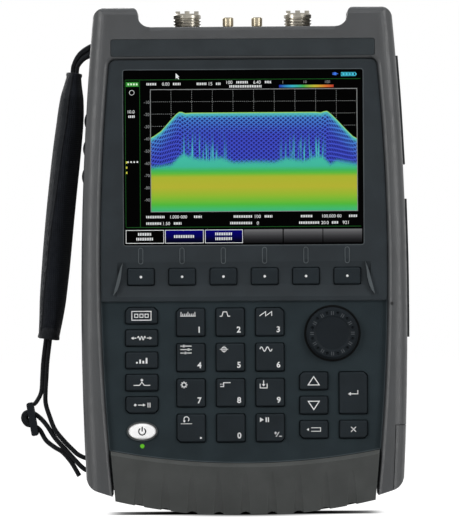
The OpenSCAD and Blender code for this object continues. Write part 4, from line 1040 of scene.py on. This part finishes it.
RETURN_ROUTE = [(-2.4, -3.6), (0.9, -1.5), (5, 2.8), (10.3, 8.7), (16.1, 15.2), (20.7, 22.3), (24.9, 27.1),
                (29.7, 30.3), (33.4, 29.9), (34.5, 26.7), (32.4, 23.3), (28.5, 22.4), (24.9, 19.9),
                (21.4, 14), (16.4, 9.9), (11.8, 7), (6.8, 1.1), (2.2, -6.8)]
SLIDER_ROUTE = [(22.6, 60.2), (23.2, 51.6), (23.9, 42.3), (26.4, 36.9), (28.4, 34.7)]


def strap_points(route, bar):
    """Places of a route, which is given outwards from the case and upwards from a bar"""
    return [np.array([-HALF_W - x, bar[1] + z]) for x, z in route]


def across(line):
    """The direction to the side of a line at each of its points"""
    ahead = ahead_of(line)
    return np.stack([-ahead[:, 1], ahead[:, 0]], 1)


PAD_LINE = smooth_curve(strap_points(PAD_ROUTE, UPPER_BAR), 9)
PAD_END = PAD_LINE[-1]


def woven(name, dark, light, pitch, rib):
    """Woven tape or cloth. Its map is in millimetres, across and along."""
    s = Shader(name)
    parts = s.add("SeparateXYZ", {0: s.uv()})
    x = s.times(parts.outputs[0], math.pi / pitch)
    y = s.times(parts.outputs[1], math.pi / rib)
    over = s.times(s.math("SINE", x), s.math("SINE", y))
    height = s.math("ADD", s.math("ABSOLUTE", over), s.times(s.noise(0.3), 0.5))
    fade = s.step(s.noise(9, 3.0), 0.3, 0.7)
    thread = s.mix(s.step(height, 0.2, 1.1), dark, light)
    s.put({"Base Color": s.mix(s.times(fade, 0.35), thread, shade(light, 1.15)),
           "Roughness": s.step(s.noise(2), 0.3, 0.7, 0.72, 0.9), "Specular IOR Level": 0.1,
           "Sheen Weight": 0.06, "Sheen Roughness": 0.5})
    s.bump(height, 0.22, 0.8)
    return s.material


def tape_section():
    """Places across the width of the tape and over its thickness from -1 to 1, with round edges"""
    flat = WEB_W / 2 - WEB_HALF
    right = arc(np.array([0.0, 0.0]), 1, -90, 90, 6) * np.array([WEB_HALF, 1]) + np.array([flat, 0])
    return np.vstack([right, -right])


def tape(line, right, left):
    """Points, faces and map of a length of webbing, with how far it reaches to both sides of its line"""
    section = tape_section()
    around = run_of(section)
    points, places = [], []
    reach = [np.broadcast_to(side, len(line)) for side in (right, left)]
    for p, q, run, low, high in zip(line, across(line), run_of(line), *reach):
        for (y, t), a in zip(section, around):
            t *= high if t > 0 else low
            points.append((p[0] + q[0] * t, STRAP_Y + y, p[1] + q[1] * t))
            places.append((a, run))
    size = len(line), len(section)
    return points, ring_faces(*size) + end_faces(*size), places


def finer(values, n):
    """Values between the given ones, as many as smooth_curve makes of points"""
    return np.interp(np.arange((len(values) - 1) * n + 1) / n, np.arange(len(values)), values)


# Where the two upper layers join, and where the fold at the slider is filled
LAYERS_MEET = 5
MEETING_SPEED = 1.7
LAYER_PLAY = 0.05
TURN_POINTS = (8, 9, 10)
TURN_FILL = 2.8
INTO_GRIP = 2


def webbing():
    loop = BAR_R + STRAP_GAP + WEB_T / 2
    base = smooth_curve([UPPER_BAR] + strap_points(UPPER_ROUTE, UPPER_BAR), 4)
    apart = (WEB_T + STRAP_GAP) / 2
    n = len(base) - 1
    reach = np.array([loop + (apart - loop) * min(1, MEETING_SPEED * i / n) for i in range(n + 1)])
    side = across(base)
    outer = (base - side * reach[:, None])[2:]
    inner = (base + side * reach[:, None])[2:]
    turn = arc(UPPER_BAR, loop, 90, -90, 10)
    meeting = np.where(np.arange(n + 1) < LAYERS_MEET, WEB_HALF, np.maximum(reach - LAYER_PLAY, WEB_HALF))[2:]
    upper = smooth_curve(np.vstack([outer[::-1], turn, inner]), 2)
    upper_right = finer(np.concatenate([meeting[::-1], [WEB_HALF] * len(turn), meeting]), 2)

    def start(shift):
        return PAD_END + np.array([shift * apart, INTO_GRIP])

    wound = np.vstack([[start(1)], strap_points(HANGING_ROUTE, LOWER_BAR),
                       arc(LOWER_BAR, loop, 100, -100, 6), strap_points(RETURN_ROUTE, LOWER_BAR)])
    wound_left = np.full(len(wound), WEB_HALF)
    for k in TURN_POINTS:
        wound_left[len(wound) - len(RETURN_ROUTE) + k] = TURN_FILL
    hanging = smooth_curve(wound, 5)
    to_slider = smooth_curve(np.vstack([[start(-1)], strap_points(SLIDER_ROUTE, LOWER_BAR)]), 5)
    tapes = [tape(upper, upper_right, WEB_HALF), tape(hanging, WEB_HALF, finer(wound_left, 5)),
             tape(to_slider, WEB_HALF, WEB_HALF)]
    points, faces = gather([made[:2] for made in tapes])
    weave = woven("webbing_weave", (14, 15, 16), (40, 42, 45), 1.1, 0.9)
    piece = build("webbing", points, faces, weave, slot="webbing")
    map_places(piece, [place for made in tapes for place in made[2]])
    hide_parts("strap_webbing")


webbing()


# Padded grip: a cover outside and cloth inside, sewn along a seam that wanders towards the outside
PAD_OUTER_STEPS = 16
PAD_INNER_STEPS = 28
PAD_BULGE = 1.4
SEAM_SHARE = [(0, 0.42), (0.45, 0.3), (0.65, 0.2), (1, 0.13)]
PAD_ROUND = (0.7, 0.6)
BULGE_SHARES = (0.2, 0.6)
END_SHRINKS = (0.8, 0.45)
CLOTH_FRAMES = 18
CLOTH = {"quality": 6, "mass": 0.2, "tension_stiffness": 12, "compression_stiffness": 12,
         "bending_stiffness": 0.4, "use_pressure": True, "uniform_pressure_force": 6,
         "vertex_group_mass": "sewn"}
PAD_SWELL = [(0, 0.59), (0.045, 0.76), (0.09, 1.0), (0.15, 1.1), (0.86, 1.1), (0.95, 0.95), (1, 0.9)]


def spread(value, power):
    return math.copysign(abs(value) ** power, value)


def oval_place(p, q, a, b, turn):
    """A place round a squarish oval across the grip, and how far it lies along the oval's two ways"""
    u = a * spread(math.cos(turn), PAD_ROUND[0])
    v = b * spread(math.sin(turn), PAD_ROUND[1])
    return (p[0] + q[0] * u, STRAP_Y + v, p[1] + q[1] * u), (v, u)


def pad_rings():
    """Points of the grip before its filling swells, ring by ring, and their map"""
    length = run_of(PAD_LINE)
    rings, places = [], []
    for p, q, run in zip(PAD_LINE, across(PAD_LINE), length):
        t = run / length[-1]
        swell = np.interp(t, *zip(*PAD_SWELL))
        a = PAD_T / 2 * swell - PAD_BULGE * BULGE_SHARES[0]
        b = PAD_W / 2 * (0.4 + 0.6 * min(swell, 1)) - PAD_BULGE * BULGE_SHARES[1]
        seam = 2 * np.interp(t, *zip(*SEAM_SHARE)) - 1
        seam_turn = math.degrees(math.acos(spread(seam, 1 / PAD_ROUND[0])))
        outside = np.linspace(seam_turn, 360 - seam_turn, PAD_OUTER_STEPS, endpoint=False)
        inside = np.linspace(360 - seam_turn, 360 + seam_turn, PAD_INNER_STEPS, endpoint=False)
        turns = np.radians(np.concatenate([outside, inside]))
        ring, around = zip(*[oval_place(p, q, a, b, turn) for turn in turns])
        rings.append(ring)
        places.append([(x, run) for x in run_of(np.array(around))])
    return np.array(rings), places


def simulate(piece, held):
    """Lets the filling press the cloth out between its seams"""
    group = piece.vertex_groups.new(name="sewn")
    group.add(held, 1.0, "REPLACE")
    cloth = piece.modifiers.new("cloth", "CLOTH")
    for name, value in CLOTH.items():
        setattr(cloth.settings, name, value)
    cloth.settings.effector_weights.gravity = 0
    rest = np.array([v.co for v in piece.data.vertices])
    for number in range(1, CLOTH_FRAMES + 1):
        scene.frame_set(number)
    shaped = piece.evaluated_get(bpy.context.evaluated_depsgraph_get())
    moved = np.array([v.co for v in shaped.data.vertices]) - rest
    piece.modifiers.remove(cloth)
    scene.frame_set(1)
    far = np.linalg.norm(moved, axis=1)[:, None]
    limit = PAD_BULGE * MM
    moved *= limit / np.maximum(far, limit)
    piece.data.vertices.foreach_set("co", (rest + moved).astype(np.float32).ravel())
    piece.data.update()


def padded_grip():
    rings, places = pad_rings()
    count, n = rings.shape[:2]
    points = [tuple(p) for ring in rings for p in ring]
    flat = [q for row in places for q in row]
    faces = ring_faces(count, n, True)
    for end, turned in ((0, True), (count - 1, False)):
        middle = rings[end].mean(0)
        loops = [list(range(end * n, end * n + n))]
        for shrink in END_SHRINKS:
            loops.append(list(range(len(points), len(points) + n)))
            points += [tuple(middle + (p - middle) * shrink) for p in rings[end]]
            flat += [(0.5 * x, y) for x, y in places[end]]
        for a, b in zip(loops, loops[1:]):
            quads = [(a[k], b[k], b[(k + 1) % n], a[(k + 1) % n]) for k in range(n)]
            faces += [q[::-1] if turned else q for q in quads]
        faces.append(tuple(loops[-1] if turned else loops[-1][::-1]))
    cover = woven("grip_cover", (20, 22, 25), (36, 39, 43), 0.5, 0.5)
    cloth = woven("grip_cloth", (9, 11, 14), (24, 27, 33), 1.2, 1.2)
    piece = build("padded_grip", points, faces, cover, slot="strap_fabric")
    piece.data.materials.append(cloth)
    for face in piece.data.polygons:
        if face.index >= (count - 1) * n or face.index % n >= PAD_OUTER_STEPS:
            face.material_index = 1
    map_places(piece, flat)
    seams = [i * n + k for i in range(count) for k in (0, PAD_OUTER_STEPS)]
    ends = list(range(n)) + list(range((count - 1) * n, len(points)))
    simulate(piece, seams + ends)
    smooth = piece.modifiers.new("smooth", "SUBSURF")
    smooth.levels = 1
    smooth.render_levels = 1
    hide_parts("strap_pad")
    return np.array([v.co for v in piece.data.vertices])[:count * n].reshape(count, n, 3) / MM


def tube(path, r, sides=8):
    """Points and faces of a closed tube along a path"""
    path = np.array(path)
    ahead = ahead_of(path)
    first = unit(np.cross(ahead, (0.0, 1.0, 0.2)))
    second = np.cross(ahead, first)
    turn = np.linspace(0, 2 * math.pi, sides, endpoint=False)
    points = []
    for p, a, b in zip(path, first, second):
        points += [tuple(p + r * (math.cos(t) * a + math.sin(t) * b)) for t in turn]
    size = len(path), sides
    return points, ring_faces(*size) + end_faces(*size)


def tubes_piece(name, tubes, material):
    piece = build(name, *gather(tubes), material, slot="strap_fabric")
    map_places(piece, [(v.co.x / MM, v.co.z / MM) for v in piece.data.vertices])


PIPING_R = 0.55
STITCH_R = 0.22
STITCH_OUT = np.array([-0.18, 0, 0])
STITCH_PITCH = 2
STITCH_SHARES = (0.05, 0.35, 0.65, 0.95)
STITCH_ROWS = (2, PAD_OUTER_STEPS - 2)
grip = padded_grip()
thread = woven("grip_thread", (40, 42, 45), (62, 65, 69), 0.4, 0.4)
piping = woven("grip_piping", (14, 15, 17), (32, 34, 38), 0.6, 0.6)
tubes_piece("grip_piping", [tube(grip[:, k], PIPING_R) for k in (0, PAD_OUTER_STEPS)], piping)
stitches = []
for row in STITCH_ROWS:
    for i in range(3, len(grip) - 4, STITCH_PITCH):
        a, b = grip[i, row], grip[i + 1, row]
        stitch = [a + (b - a) * t + STITCH_OUT for t in STITCH_SHARES]
        stitches.append(tube(stitch, STITCH_R, 6))
tubes_piece("grip_stitches", stitches, thread)

# Bands sewn round both ends of the grip
BAND_TURN = 12
BAND_STEP = 2.0


def sewn_band(name, rows, material):
    """A band round the grip, from its rows: share of the length, half a thickness, half a width"""
    length = run_of(PAD_LINE)
    share = length / length[-1]
    side = across(PAD_LINE)
    turns = np.radians(np.arange(0, 360, BAND_TURN))
    points, places = [], []
    for t, a, b in rows:
        p, q = [[np.interp(t, share, line[:, k]) for k in (0, 1)] for line in (PAD_LINE, side)]
        points += [oval_place(p, q, a, b, turn)[0] for turn in turns]
        places += [(i * BAND_STEP, t * length[-1]) for i in range(len(turns))]
    size = len(rows), len(turns)
    faces = ring_faces(*size, True) + end_faces(*size, True)
    map_places(build(name, points, faces, material, slot="strap_fabric"), places)


collar_weave = woven("grip_band", (26, 28, 30), (58, 61, 64), 0.9, 0.9)
hem_weave = woven("grip_hem", (12, 13, 15), (34, 36, 40), 0.8, 0.8)
sewn_band("grip_collar", [(0.0, 3.6, 10.6), (0.002, 4.5, 11.6), (0.008, 4.7, 12), (0.02, 4.2, 11.6),
                          (0.03, 4.4, 11.8), (0.036, 4.2, 11.6), (0.04, 3.4, 10.6)], collar_weave)
sewn_band("grip_hem", [(0.955, 4.6, 19.6), (0.958, 5.7, 20.6), (0.975, 5.9, 20.8), (0.992, 6.3, 21.2),
                       (0.998, 6.3, 21.2), (1.0, 5.4, 20.2)], hem_weave)


# Floor, lights and world, in metres
def area_light(name, place, target, size, power):
    """A soft box, as wide and as high as its size says"""
    light = bpy.data.lights.new(name, "AREA")
    light.shape = "RECTANGLE"
    light.size, light.size_y = size
    light.energy = power
    lamp = bpy.data.objects.new(name, light)
    lamp.location = place
    lamp.rotation_euler = (Vector(target) - Vector(place)).to_track_quat("-Z", "Y").to_euler()
    scene.collection.objects.link(lamp)
    return lamp


CENTRE = (0, 0, 0.15)
area_light("front_light", (0.2, -1.5, 1.3), CENTRE, (1.2, 0.8), 5)
area_light("left_box", (-1.15, -1.0, 0.4), CENTRE, (0.45, 1.4), 13)
area_light("right_box", (1.15, -1.0, 0.4), CENTRE, (0.45, 1.4), 13)
area_light("top_light", (0, -0.1, 1.4), CENTRE, (1.0, 0.6), 11).visible_glossy = False
area_light("back_light", (-0.3, 1.6, 0.9), CENTRE, (1.4, 1.0), 22)

FLOOR_HALF = 9.0
FLOOR_Z = -0.0002
# A painted soft shadow: the floor's colour and glow darken in an ellipse round the middle, and as painted
# shade where the floor meets the object
SHADOW_REACH = (0.072, 0.115, 1)
SHADOW_START = 0.3
CREASE_REACH = 0.01
CREASE_POWER = 2.4


def floor_material():
    """White, with a painted soft shadow and painted crease shade close under the object"""
    s = Shader("floor")
    rays = s.add("LightPath", {})
    crease_shade = s.add("AmbientOcclusion", {"Distance": CREASE_REACH}, samples=16).outputs["AO"]
    away = s.vector("LENGTH", s.vector("DIVIDE", s.place(), SHADOW_REACH).outputs[0]).outputs["Value"]
    clear_of_painted_shadow = s.math("MINIMUM", s.math("POWER", crease_shade, CREASE_POWER), s.step(away, SHADOW_START, 1.0))
    seen = s.math("MAXIMUM", rays.outputs["Is Camera Ray"], rays.outputs["Is Glossy Ray"])
    s.put({"Base Color": s.mix(clear_of_painted_shadow, (20, 20, 20), (105, 105, 105)), "Roughness": 0.9,
           "Specular IOR Level": 0.0, "Emission Color": (1, 1, 1, 1),
           "Emission Strength": s.times(clear_of_painted_shadow, seen)})
    return s.material


floor = bpy.data.objects.new("floor", bpy.data.meshes.new("floor"))
corners = [(x * FLOOR_HALF, y * FLOOR_HALF, FLOOR_Z) for x, y in ((-1, -1), (1, -1), (1, 1), (-1, 1))]
floor.data.from_pydata(corners, [], [(0, 1, 2, 3)])
floor.data.materials.append(floor_material())
scene.collection.objects.link(floor)

# The world is white where it is seen, directly or in metal and glass, and dimmer as a light
AMBIENT = 0.12
scene.world = bpy.data.worlds.new("studio")
studio = Shader("studio", scene.world)
rays = studio.add("LightPath", {}).outputs
shown = rays["Is Camera Ray"]
for kind in ("Is Glossy Ray", "Is Transmission Ray"):
    shown = studio.math("MAXIMUM", shown, rays[kind])
level = studio.add("MapRange", {"Value": shown, "To Min": AMBIENT}).outputs[0]
studio.put({"Color": (1, 1, 1, 1), "Strength": level})
